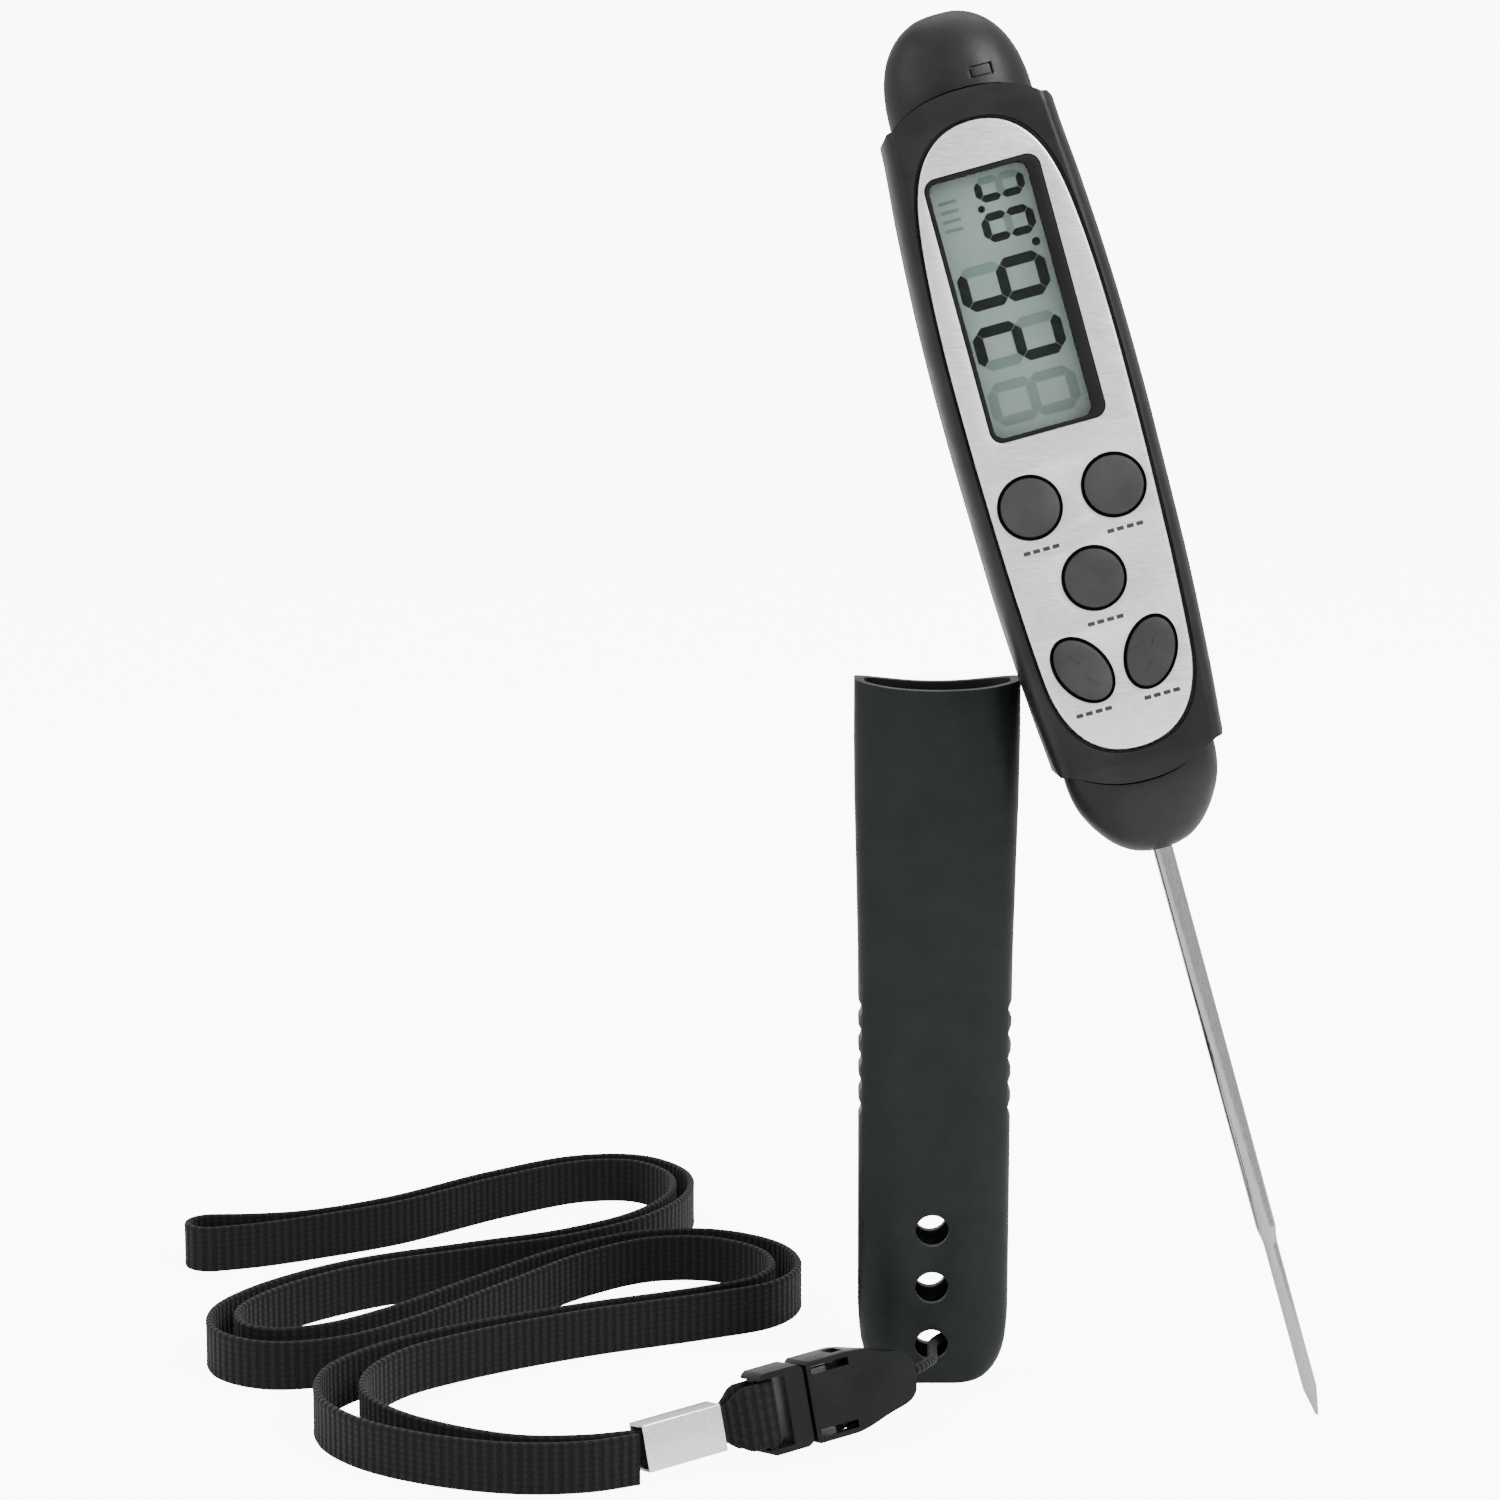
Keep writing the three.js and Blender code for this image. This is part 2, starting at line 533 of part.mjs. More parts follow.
function sheathGeometry() {
  const tools = [sheathBody(SHEATH_WALL)];
  const mouthRadius = (SHEATH_HALF_TOP ** 2 + MOUTH_DIP ** 2) / (2 * MOUTH_DIP);
  tools.push(pinAlongY(mouthRadius, [-10, 10], [0, SHEATH_HEIGHT - MOUTH_DIP + mouthRadius], 120));
  for (const z of HOLE_HEIGHTS) {
    tools.push(pinAlongY(HOLE_RADIUS, [-10, 10], [HOLE_X, z], 20));
  }
  const grooveRadius = 1.35;
  for (let i = 0; i < GRIP_COUNT; i += 1) {
    for (const side of [-1, 1]) {
      const x = side * (SHEATH_HALF_LOW + grooveRadius - 0.4);
      tools.push(pinAlongY(grooveRadius, [-10, 10], [x, GRIP_START + i * GRIP_PITCH], 12));
    }
  }
  return cut(sheathBody(0), ...tools);
}

const sheathGroup = new THREE.Group();
addPart(sheathGroup, 'sheath', sheathGeometry(), SHEATH_BLACK);
sheathGroup.position.set(...SHEATH_CENTRE, 0);

// ---- Lanyard ------------------------------------------------------------------------------
// Points of one strand of the doubled strap, then its far bend, then the other strand back
function strapLine() {
  const curve = new THREE.CatmullRomCurve3(
    LANYARD_ROUTE.map((point) => new THREE.Vector3(...point)), false, 'centripetal');
  const samples = curve.getPoints((LANYARD_ROUTE.length - 1) * ROUTE_STEPS_PER_POINT);
  const flat = (v) => new THREE.Vector2(v.x, v.y);
  const strand = (side) => samples.map((sample, i) => {
    const before = flat(samples[Math.max(i - 1, 0)]);
    const after = flat(samples[Math.min(i + 1, samples.length - 1)]);
    const along = after.sub(before).normalize();
    return new THREE.Vector2(sample.x - along.y * sample.z * side, sample.y + along.x * sample.z * side);
  });
  const [near, far] = [strand(-1), strand(1)];
  const last = samples[samples.length - 1];
  const centre = flat(last);
  const start = near[near.length - 1].clone().sub(centre);
  const bend = [];
  for (let i = 1; i < FAR_BEND_STEPS; i += 1) {
    bend.push(start.clone().rotateAround(new THREE.Vector2(), Math.PI * i / FAR_BEND_STEPS).add(centre));
  }
  return [...near, ...bend, ...far.reverse()];
}

function strapGeometry() {
  const line = strapLine();
  const rim = (side) => line.map((point, i) => {
    const before = line[Math.max(i - 1, 0)];
    const after = line[Math.min(i + 1, line.length - 1)];
    const along = after.clone().sub(before).normalize();
    const reach = side * STRAP_THICKNESS / 2;
    return new THREE.Vector2(point.x - along.y * reach, point.y + along.x * reach);
  });
  const shape = new THREE.Shape([...rim(-1), ...rim(1).reverse()]);
  return new THREE.ExtrudeGeometry(shape, { depth: STRAP_WIDTH, bevelEnabled: false });
}

// The strap's folded end: a hairpin in plan that flares evenly from the crimp to the buckle bar
function strapTail() {
  const plan = new THREE.Shape();
  plan.moveTo(GAP, -1.15);
  plan.lineTo(11, -1.15);
  plan.lineTo(13.6, -2.2);
  plan.lineTo(16.2, -2.2);
  plan.absarc(16.2, 0, 2.2, -Math.PI / 2, Math.PI / 2, false);
  plan.lineTo(13.6, 2.2);
  plan.lineTo(11, 1.15);
  plan.lineTo(GAP, 1.15);
  plan.lineTo(GAP, 0.15);
  plan.lineTo(11.4, 0.15);
  plan.lineTo(14.0, 1.2);
  plan.lineTo(16.2, 1.2);
  plan.absarc(16.2, 0, 1.2, Math.PI / 2, -Math.PI / 2, true);
  plan.lineTo(14.0, -1.2);
  plan.lineTo(11.4, -0.15);
  plan.lineTo(GAP, -0.15);
  const hairpin = new THREE.ExtrudeGeometry(plan, { depth: 12, bevelEnabled: false, curveSegments: 6 })
    .translate(0, 0, -3);
  const side = new THREE.Shape();
  side.moveTo(0, BUCKLE_AXIS_Z - 2.1);
  side.lineTo(10.6, BUCKLE_AXIS_Z - 2.1);
  side.lineTo(13.4, BUCKLE_AXIS_Z - 3.85);
  side.lineTo(20, BUCKLE_AXIS_Z - 3.85);
  side.lineTo(20, BUCKLE_AXIS_Z + 3.85);
  side.lineTo(13.4, BUCKLE_AXIS_Z + 3.85);
  side.lineTo(10.6, BUCKLE_AXIS_Z + 2.1);
  side.lineTo(0, BUCKLE_AXIS_Z + 2.1);
  return common(hairpin, slab(side, [-4, 4]));
}

function crimp() {
  const [low, high] = [BUCKLE_AXIS_Z - CRIMP_HEIGHT / 2, BUCKLE_AXIS_Z + CRIMP_HEIGHT / 2];
  const outer = block([0, -1.75, low], [CRIMP_LENGTH, 1.75, high]);
  const bore = block([-1, -1.35, low + 0.4], [CRIMP_LENGTH + 1, 1.35, high - 0.4]);
  return cut(outer, bore);
}

// Socket outline in x and z: square at its mouth and tapering evenly to a rounded tether end
function socketOutline() {
  const shape = new THREE.Shape();
  const [end, half, middle] = [SOCKET_LENGTH, BUCKLE_HEIGHT / 2, BUCKLE_AXIS_Z];
  shape.moveTo(0, middle - half + 0.3);
  shape.lineTo(0.3, middle - half);
  shape.lineTo(5.4, middle - half);
  shape.lineTo(end - 2.2, middle - 3.3);
  shape.quadraticCurveTo(end, middle - 2.7, end, middle - 1.2);
  shape.lineTo(end, middle + 1.2);
  shape.quadraticCurveTo(end, middle + 2.7, end - 2.2, middle + 3.3);
  shape.lineTo(5.4, middle + half);
  shape.lineTo(0.3, middle + half);
  shape.lineTo(0, middle + half - 0.3);
  return shape;
}

// The socket is open at its mouth for the plug, above and below for its barbs and at its far
// end for the tether
function buckleSocket() {
  const middle = BUCKLE_AXIS_Z;
  const body = slab(socketOutline(), [-2.6, 2.6], [0.25, 0.4], 2);
  const bore = block([-1, -1.3, middle - 3.7], [6.2, 1.3, middle + 3.7]);
  const tip = block([6, -1.3, middle - 2.6], [8.9, 1.3, middle + 2.6]);
  const windows = block([4.3, -1.3, -6], [6.0, 1.3, 12]);
  const slots = [-1, 1].map((side) =>
    block([0.8, -4, middle - 0.4 + 3.75 * side], [3.9, 4, middle + 0.4 + 3.75 * side]));
  const pocket = block([SOCKET_LENGTH - 4.5, -1.4, middle - 1.1], [20, 1.4, middle + 1.1]);
  return cut(body, bore, tip, windows, pocket, ...slots).translate(SOCKET_START, 0, 0);
}

function bucklePlug() {
  const middle = BUCKLE_AXIS_Z;
  const start = SOCKET_START;
  const mirrorZ = (low, high) => [
    block([low[0], low[1], middle + low[2]], [high[0], high[1], middle + high[2]]),
    block([low[0], low[1], middle - high[2]], [high[0], high[1], middle - low[2]]),
  ];
  const frame = slab(roundedRect(3.0, BUCKLE_HEIGHT / 2, 0.9, middle), [-2.3, 2.3], [0.4, 0.4], 2)
    .translate(18.5, 0, 0);
  const arms = mirrorZ([20.6, -1.0, 2.0], [start + 5.8, 1.0, 3.2]);
  const barbs = mirrorZ([start + 4.5, -1.0, 3.0], [start + 5.6, 1.0, 4.3]);
  const guide = block([20.6, -0.8, middle - 0.5], [start + 7.6, 0.8, middle + 0.5]);
  const slot = block([16.4, -4, middle - 4.15], [18.9, 4, middle + 4.15]);
  const bands = [[0.9, 4], [-4, -0.9]].map(([near, far]) =>
    block([14, near, middle - 4.15], [16.5, far, middle + 4.15]));
  return cut(join(frame, ...arms, ...barbs, guide), slot, ...bands);
}

const buckleLean = new THREE.Group();
addPart(buckleLean, 'crimp', crimp(), [0xbfc2c6, 0.35, 0.9]);
addPart(buckleLean, 'strap_tail', strapTail(), STRAP_BLACK);
addPart(buckleLean, 'buckle_plug', bucklePlug(), SHEATH_BLACK);
addPart(buckleLean, 'buckle_socket', buckleSocket(), SHEATH_BLACK);
buckleLean.rotation.x = THREE.MathUtils.degToRad(-BUCKLE_LEAN_DEG);
const buckleGroup = new THREE.Group();
buckleGroup.add(buckleLean);
buckleGroup.rotation.set(
  0, THREE.MathUtils.degToRad(-BUCKLE_PITCH_DEG), THREE.MathUtils.degToRad(BUCKLE_YAW_DEG), 'ZYX');
buckleGroup.position.set(...BUCKLE_START);

// The tether with the stopper knot that holds it inside the sheath
function tetherGeometry() {
  const section = new THREE.Shape();
  section.absarc(0, 0, TETHER_RADIUS, 0, Math.PI * 2, false);
  const curve = new THREE.CatmullRomCurve3(TETHER_ROUTE.map((point) => new THREE.Vector3(...point)));
  const cord = new THREE.ExtrudeGeometry(section, { steps: 36, extrudePath: curve, curveSegments: 4 });
  const knot = new THREE.SphereGeometry(KNOT_RADIUS, 14, 9).translate(...KNOT_CENTRE);
  return join(cord, knot);
}

// ---- Assembly -----------------------------------------------------------------------------
const assembly = new THREE.Group();
assembly.add(thermometer, sheathGroup, buckleGroup);
addPart(assembly, 'lanyard_strap', strapGeometry(), STRAP_BLACK);
addPart(assembly, 'tether_cord', tetherGeometry(), STRAP_BLACK);

export default assembly;
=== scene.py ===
"""Pocket stem thermometer leaning on its sheath, with its neck lanyard laid out on the floor.

The thermometer's pieces are modelled upright on the z axis, with the probe's point at POINT_Z and the
face towards -Y, and then leaned into place. The buckle's are modelled along +X, crimp first, and then
turned. Lengths are millimetres where they are not multiplied by MM.
"""
import bpy
import math
from mathutils import Matrix, Vector


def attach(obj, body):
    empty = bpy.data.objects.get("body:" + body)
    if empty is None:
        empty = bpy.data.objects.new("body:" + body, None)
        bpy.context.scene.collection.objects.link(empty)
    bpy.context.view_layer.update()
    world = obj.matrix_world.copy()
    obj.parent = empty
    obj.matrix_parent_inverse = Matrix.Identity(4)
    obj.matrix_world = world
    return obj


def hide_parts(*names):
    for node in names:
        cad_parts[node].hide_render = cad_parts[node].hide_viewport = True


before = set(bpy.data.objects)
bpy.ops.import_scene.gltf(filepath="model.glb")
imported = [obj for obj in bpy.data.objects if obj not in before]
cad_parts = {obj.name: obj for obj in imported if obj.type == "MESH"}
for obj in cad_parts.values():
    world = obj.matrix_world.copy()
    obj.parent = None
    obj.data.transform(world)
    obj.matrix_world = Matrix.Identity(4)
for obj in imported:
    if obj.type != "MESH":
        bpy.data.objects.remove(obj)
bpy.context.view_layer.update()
MM = 0.001

# ---- Where things stand ----
PROBE_POINT = (27.86, -12.34, 0.12)
POINT_Z = -1.0
LEAN_SIDE = math.radians(15.5)
LEAN_BACK = math.radians(6.75)
SHEATH_CENTRE = (-17.99, 3.76, 0.0)
BUCKLE_START = (-52.87, -35.51, 1.0)
BUCKLE_YAW = math.radians(30)
BUCKLE_PITCH = math.radians(5)
BUCKLE_LEAN = math.radians(11)
BUCKLE_AXIS_Z = 3.05

# ---- Sizes that the drawings below share ----
STRAP_WIDTH = 6.2
STRAP_THICKNESS = 1.0
STRAP_STEPS = 12  # of the path, from one point of its route to the next
FAR_BEND_STEPS = 24
TETHER_RADIUS = 0.6
TETHER_STEPS = 16
KNOT_RADIUS = 2.3
KNOT_CENTRE = (-13.7, 3.78, 11.2)
CRIMP_LENGTH = 10.4
CRIMP_HALF_HEIGHT = 2.8
CRIMP_HALF_DEPTH = 1.75
TAIL_WIDTH = 4.2
TAIL_SPREAD = 0.83  # how much wider the folded strap is at the buckle's bar
TAIL_BEND_X = 16.2
TAIL_BEND_RADIUS = 1.7
SOCKET_START = 21.8
SOCKET_LENGTH = 14.3
BUCKLE_HALF_HEIGHT = 4.9
SHEATH_HEIGHT = 87.7
SHEATH_HALF_WIDTH = 9.25  # above its rounded base
SHEATH_HALF_DEPTH = 4.2
SHEATH_WALL = 1.2
SHEATH_FLOOR = 1.6
MOUTH_HALF_WIDTH = 10.05
MOUTH_DIP = 1.05
HOLE_RADIUS = 2.05
HOLE_X = -0.25
HOLE_HEIGHTS = (4.9, 12.25, 19.5)
GROOVE_RADIUS = 1.7
GROOVE_DEPTH = 0.35
GROOVE_EDGE_X = 9.3  # half the sheath's width where the grooves are
GROOVE_HEIGHTS = [34.5 + 3.1 * i for i in range(5)]
FRONT_Y, BACK_Y = -7.5, 6.5  # of the housing
SEAM_HALF_WIDTH = 0.13
HOUSING_HALF_WIDTH = 12.05
HOUSING_WALL = 1.3
NECK_HALF_SIZE = (7.0, 4.4)
NECK_ENDS = ((74, 85.5), (155.5, 165.1))
PLUG_HALF_SIZE = (6.7, 4.1)
PLUG_CORNER = 2.7
SHOULDER_LOW, SHOULDER_HIGH = 81.9, 160.5
SHOULDER_HALF_WIDTH = 10.35
SHOULDER_FLANK_X = 14  # beyond the housing
JOINT_GAP = 0.26  # between the housing and its nose or cap
NOSE_END, NOSE_TONGUE = 70.35, 79.3
CAP_START, CAP_TONGUE, CAP_END = 158, 163.1, 173.05
CAP_SQUASH, NOSE_SQUASH = 0.72, 0.74
PLATE_LOW, PLATE_HIGH, PLATE_HALF_WIDTH = 83.3, 159.3, 10.05
PLATE_FRONT_Y, PLATE_BACK_Y = -7.7, -6.9
PLATE_GAP = 0.38
WINDOW_X, WINDOW_CENTRE_Z = -0.35, 137.9
WINDOW_SIZE = (14.1, 32.0)
# The gasket's opening sits left of the window, so its right band is wider than the others. That extra dark
# band is painted shade of the recess wall; the rest of the frame is the real gasket.
GASKET_HALF_OPENING = (5.95, 15.4)
GASKET_SHADE_SHIFT_X = -0.85
KEY_TOP_Y, KEY_FOOT_Y = -8.3, -4.4
KEY_FLANGE, KEY_FLANGE_Y = 0.85, -5.0
KEY_CLEARANCE = 0.45
KEY_CROWN = ((0.5, 0.16), (0.9, 0.1), (1.0, 0.04))  # each ring's width and how far it rises
DISPLAY_Y, SEGMENT_THICKNESS = -5.06, 0.04
CAPTION_Y, CAPTION_BACK_Y = -7.725, -7.69
GRAIN_DEPTH = 0.03 * MM
WAVE_NODE_FACTOR = 20  # built into Blender's wave texture
# Middle line of the doubled strap on the floor: x, y, half the distance between its strands
LANYARD_ROUTE = [
    (-53.62, -35.86, 0.65), (-59.42, -37.91, 1.1), (-67.22, -38.21, 1.35), (-76.72, -34.71, 2.0),
    (-84.52, -28.91, 2.5), (-88.92, -21.71, 2.7), (-89.12, -13.11, 2.6), (-84.52, -4.51, 1.9),
    (-75.72, 3.09, 1.6), (-61.72, 11.49, 1.35), (-46.72, 18.49, 1.4), (-38.72, 23.49, 1.6),
    (-36.02, 30.29, 1.7), (-38.32, 38.49, 1.8), (-45.62, 43.89, 1.8), (-54.32, 43.49, 1.7),
    (-63.22, 37.09, 1.9), (-73.72, 23.69, 2.3), (-84.72, 9.09, 2.6), (-92.32, 2.09, 2.9),
    (-99.52, 0.09, 2.7), (-104.92, 3.29, 2.1), (-106.62, 10.49, 1.6), (-102.72, 19.69, 1.4),
    (-92.22, 30.49, 1.35), (-77.72, 38.29, 1.3), (-65.02, 44.69, 1.25), (-55.52, 53.29, 1.2),
    (-50.62, 63.69, 1.2), (-50.92, 74.09, 1.3), (-56.72, 81.29, 1.4), (-64.72, 81.19, 1.4),
    (-76.22, 73.09, 1.35), (-89.72, 60.09, 1.3), (-100.22, 53.49, 1.4), (-107.72, 50.69, 2.4),
    (-113.32, 49.59, 3.2),
]
TETHER_ROUTE = [
    (-25.1, -18.8, 6.8), (-20.95, -16.4, 7.15), (-19.0, -12.6, 6.9),
    (-18.4, -7.6, 5.7), (-18.24, -2.6, 4.95), (-18.0, 0.6, 4.95),
    (-16.6, 3.0, 5.1), (-14.4, 3.8, 6.6), (-13.7, 3.78, 10.4),
]


def linked(name, data):
    """A new object in the scene for some data."""
    obj = bpy.data.objects.new(name, data)
    bpy.context.scene.collection.objects.link(obj)
    return obj


# ---- Camera ----
camera_data = bpy.data.cameras.new("camera")
camera = linked("camera", camera_data)
camera.location = (-0.04062, -0.49771, 0.1672)
camera.rotation_euler = (math.radians(80), 0, 0)
camera_data.lens = 100.8
camera_data.sensor_width = 36
camera_data.clip_start = 0.01
camera_data.clip_end = 20
bpy.context.scene.camera = camera


# ---- Materials ----
class Finish:
    """A material under the hand: its shader, its Object coordinates and short ways to add nodes."""

    def __init__(self, name, color, roughness, metallic=0.0, **sockets):
        self.material = bpy.data.materials.new(name)
        self.material.use_nodes = True
        self.tree = self.material.node_tree
        self.shader = self.tree.nodes["Principled BSDF"]
        basic = {"Base_Color": (*color, 1), "Roughness": roughness, "Metallic": metallic}
        for socket, value in (basic | sockets).items():
            self.shader.inputs[socket.replace("_", " ")].default_value = value
        self.coordinates = self.tree.nodes.new("ShaderNodeTexCoord").outputs["Object"]

    def node(self, kind, links=None, **values):
        made = self.tree.nodes.new(kind)
        for name, value in values.items():
            if hasattr(made, name):
                setattr(made, name, value)
            else:
                made.inputs[name.replace("_", " ")].default_value = value
        for socket, output in (links or {}).items():
            self.tree.links.new(output, made.inputs[socket])
        return made

    def noise(self, scale, detail=3.0, stretch=(1, 1, 1)):
        moved = self.node("ShaderNodeMapping", {"Vector": self.coordinates})
        moved.inputs["Scale"].default_value = stretch
        return self.node("ShaderNodeTexNoise", {"Vector": moved.outputs[0]},
                         Scale=scale, Detail=detail).outputs["Fac"]

    def spread(self, fac, low, high, start=0.3, end=0.7):
        ranged = self.node("ShaderNodeMapRange", {"Value": fac})
        limits = {"From Min": start, "From Max": end, "To Min": low, "To Max": high}
        for socket, value in limits.items():
            ranged.inputs[socket].default_value = value
        return ranged.outputs["Result"]

    def blend_colors(self, fac, first, second):
        ramp = self.node("ShaderNodeValToRGB", {"Fac": fac})
        for element, place, color in zip(ramp.color_ramp.elements, (0.35, 0.65), (first, second)):
            element.position = place
            element.color = (*color, 1)
        return ramp.outputs["Color"]

    def into(self, socket, output):
        self.tree.links.new(output, self.shader.inputs[socket])

    def bump(self, height, strength, distance):
        below = self.shader.inputs["Normal"]
        bump = self.node("ShaderNodeBump", {"Height": height}, Strength=strength, Distance=distance)
        if below.links:
            self.tree.links.new(below.links[0].from_socket, bump.inputs["Normal"])
        self.into("Normal", bump.outputs[0])


def moulded(name, color, lighter, roughness, grain=2400, **sockets):
    """Injection-moulded plastic or rubber: fine spark-eroded grain, faint cloudiness."""
    finish = Finish(name, color, roughness, **sockets)
    cloud = finish.noise(160, 4)
    finish.into("Base Color", finish.blend_colors(cloud, color, lighter))
    finish.into("Roughness", finish.spread(finish.noise(420, 5), roughness - 0.05, roughness + 0.07))
    finish.bump(finish.noise(grain, 2), 0.35, GRAIN_DEPTH)
    return finish.material


def satin_metal(name, color, roughness, stretch, scale=900, depth=0.00001):
    """Metal with fine lines drawn along one direction."""
    finish = Finish(name, color, roughness, 1.0)
    lines = finish.noise(scale, 3, stretch)
    finish.into("Roughness", finish.spread(lines, roughness - 0.06, roughness + 0.1))
    finish.into("Base Color", finish.blend_colors(
        lines, tuple(c * 0.88 for c in color), tuple(min(1, c * 1.06) for c in color)))
    finish.bump(lines, 0.25, depth)
    return finish.material


def woven(name, color, lighter, rib_pitch, rows):
    """Narrow ribbed webbing. Its map runs in metres: u along the strap and v round it."""
    finish = Finish(name, color, 0.85, Sheen_Weight=0.06, Sheen_Roughness=0.5, Specular_IOR_Level=0.2)
    weave = finish.tree.nodes.new("ShaderNodeTexCoord").outputs["UV"]
    waves = []
    for direction, pitch in (("X", rib_pitch), ("Y", STRAP_WIDTH * MM / rows)):
        wave = finish.node("ShaderNodeTexWave", {"Vector": weave}, bands_direction=direction,
                           wave_profile="SIN", Scale=2 * math.pi / pitch / WAVE_NODE_FACTOR)
        wave.inputs["Distortion"].default_value = 0.25
        waves.append(wave.outputs["Fac"])
    product = finish.node("ShaderNodeMath", operation="MULTIPLY")
    finish.tree.links.new(waves[0], product.inputs[0])
    finish.tree.links.new(finish.spread(waves[1], 0.55, 1.0, 0, 1), product.inputs[1])
    fuzz = finish.noise(5200, 3)
    finish.into("Base Color", finish.blend_colors(product.outputs[0], color, lighter))
    finish.into("Roughness", finish.spread(fuzz, 0.75, 0.95))
    finish.bump(fuzz, 0.25, 0.00006)
    finish.bump(product.outputs[0], 0.8, 0.00022)
    return finish.material


def grey(level):
    return (level, level, level)


MAT = {
    "housing": moulded("housing_black", (0.0068, 0.0064, 0.006), (0.0125, 0.0118, 0.011), 0.4, 3200,
                       Specular_IOR_Level=0.27),
    "sheath": moulded("sheath_black", (0.0045, 0.0068, 0.0064), (0.0068, 0.0098, 0.0094), 0.42, 3000,
                      Specular_IOR_Level=0.22),
    "key": moulded("key_rubber", (0.027, 0.0263, 0.0248), (0.041, 0.04, 0.0378), 0.62, 3600,
                   Specular_IOR_Level=0.3),
    "gasket": moulded("gasket_black", grey(0.003), grey(0.006), 0.55, 4000,
                      Specular_IOR_Level=0.2),
    "buckle": moulded("buckle_black", (0.0026, 0.0028, 0.0028), (0.005, 0.0054, 0.0054), 0.33, 2600,
                      Specular_IOR_Level=0.22),
    "carrier": moulded("carrier_black", grey(0.012), grey(0.02), 0.5),
    "seal": moulded("seal_red", (0.19, 0.03, 0.018), (0.26, 0.05, 0.03), 0.55),
    "bush": moulded("bush_black", grey(0.01), grey(0.018), 0.6),
    "membrane": moulded("membrane_grey", (0.14, 0.14, 0.135), (0.19, 0.19, 0.18), 0.65),
    "zebra": moulded("zebra_strip", (0.5, 0.42, 0.33), (0.3, 0.25, 0.2), 0.6, 6000),
    "board": moulded("board_green", (0.015, 0.09, 0.03), (0.025, 0.14, 0.05), 0.35),
    "chip": moulded("potting_black", grey(0.006), grey(0.012), 0.2),
    "bead": moulded("bead_black", grey(0.01), grey(0.02), 0.25),
    "lead_red": moulded("lead_red", (0.4, 0.03, 0.02), (0.5, 0.05, 0.03), 0.45),
    "lead_black": moulded("lead_black", grey(0.01), grey(0.02), 0.45),
    "plate": satin_metal("plate_silver", (0.90, 0.90, 0.89), 0.4, (1, 1, 14), 700),
    "probe": satin_metal("probe_steel", (0.42, 0.415, 0.405), 0.12, (14, 14, 1), 500, 0.000004),
    "crimp": satin_metal("crimp_steel", (0.90, 0.90, 0.91), 0.3, (1, 12, 12), 600),
    "cell": satin_metal("cell_nickel", (0.7, 0.7, 0.69), 0.22, (1, 1, 1), 900),
    "contact": satin_metal("contact_brass", (0.66, 0.47, 0.2), 0.28, (6, 1, 1), 700),
    "strap": woven("strap_black", grey(0.0022), (0.0085, 0.0086, 0.0085), 0.00115, 8),
    "cord": woven("cord_black", grey(0.003), grey(0.01), 0.0009, 5),
    "digit": moulded("digit_dark", (0.003, 0.007, 0.006), (0.005, 0.01, 0.009), 0.5,
                     Specular_IOR_Level=0.1),
    "ink": moulded("printed_ink", (0.02, 0.02, 0.022), (0.035, 0.035, 0.037), 0.5),
    "ghost": moulded("ghost_segment", (0.135, 0.2, 0.175), (0.15, 0.215, 0.19), 0.4),
}


def liquid_crystal():
    """The grey-green field of the display, faintly clouded."""
    finish = Finish("display_field", (0.27, 0.35, 0.305), 0.32)
    cloud = finish.noise(90, 2)
    finish.into("Base Color", finish.blend_colors(cloud, (0.255, 0.335, 0.29), (0.29, 0.37, 0.325)))
    finish.bump(finish.noise(2600, 1), 0.1, 0.00001)
    return finish.material


def clear_cover():
    finish = Finish("window_clear", (0.97, 0.98, 0.98), 0.04, Transmission_Weight=1.0, IOR=1.2)
    finish.bump(finish.noise(40, 1), 0.05, 0.00001)
    return finish.material


MAT["display"] = liquid_crystal()
MAT["cover"] = clear_cover()


# ---- Modelling helpers ----
def select_only(*objects):
    bpy.ops.object.select_all(action="DESELECT")
    for obj in objects:
        obj.select_set(True)
    bpy.context.view_layer.objects.active = objects[0]


def editing(obj, kind="FACE"):
    """Opens the object's mesh with the selection that it has."""
    select_only(obj)
    bpy.ops.object.mode_set(mode="EDIT")
    bpy.ops.mesh.select_mode(type=kind)


def editing_all(obj, kind="FACE"):
    editing(obj, kind)
    bpy.ops.mesh.select_all(action="SELECT")


def finished_editing():
    bpy.ops.object.mode_set(mode="OBJECT")


def pick_faces(obj, test):
    """Selects, in object mode, the faces whose centre and normal pass the test."""
    mesh = obj.data
    for item in (*mesh.vertices, *mesh.edges, *mesh.polygons):
        item.select = False
    for face in mesh.polygons:
        face.select = test(face.center, face.normal)


def apply_modifier(obj, kind, **values):
    select_only(obj)
    bpy.ops.object.modifier_add(type=kind)
    modifier = obj.modifiers[-1]
    for name, value in values.items():
        setattr(modifier, name, value)
    bpy.ops.object.modifier_apply(modifier=modifier.name)


def round_edges(obj, width, segments=3, angle=30):
    apply_modifier(obj, "BEVEL", width=width * MM, segments=segments, limit_method="ANGLE",
                   angle_limit=math.radians(angle))


def cut_away(obj, *tools):
    for tool in tools:
        apply_modifier(obj, "BOOLEAN", operation="DIFFERENCE", object=tool, solver="EXACT")
        bpy.data.objects.remove(tool)


def keep_common(obj, tool):
    apply_modifier(obj, "BOOLEAN", operation="INTERSECT", object=tool, solver="EXACT")
    bpy.data.objects.remove(tool)


def unite(obj, *others):
    for other in others:
        apply_modifier(obj, "BOOLEAN", operation="UNION", object=other, solver="EXACT")
        bpy.data.objects.remove(other)


def smooth(obj, angle=32):
    select_only(obj)
    bpy.ops.object.shade_smooth_by_angle(angle=math.radians(angle))


def settled(obj):
    """The object's place goes into its mesh."""
    select_only(obj)
    bpy.ops.object.transform_apply(location=True, rotation=True, scale=True)


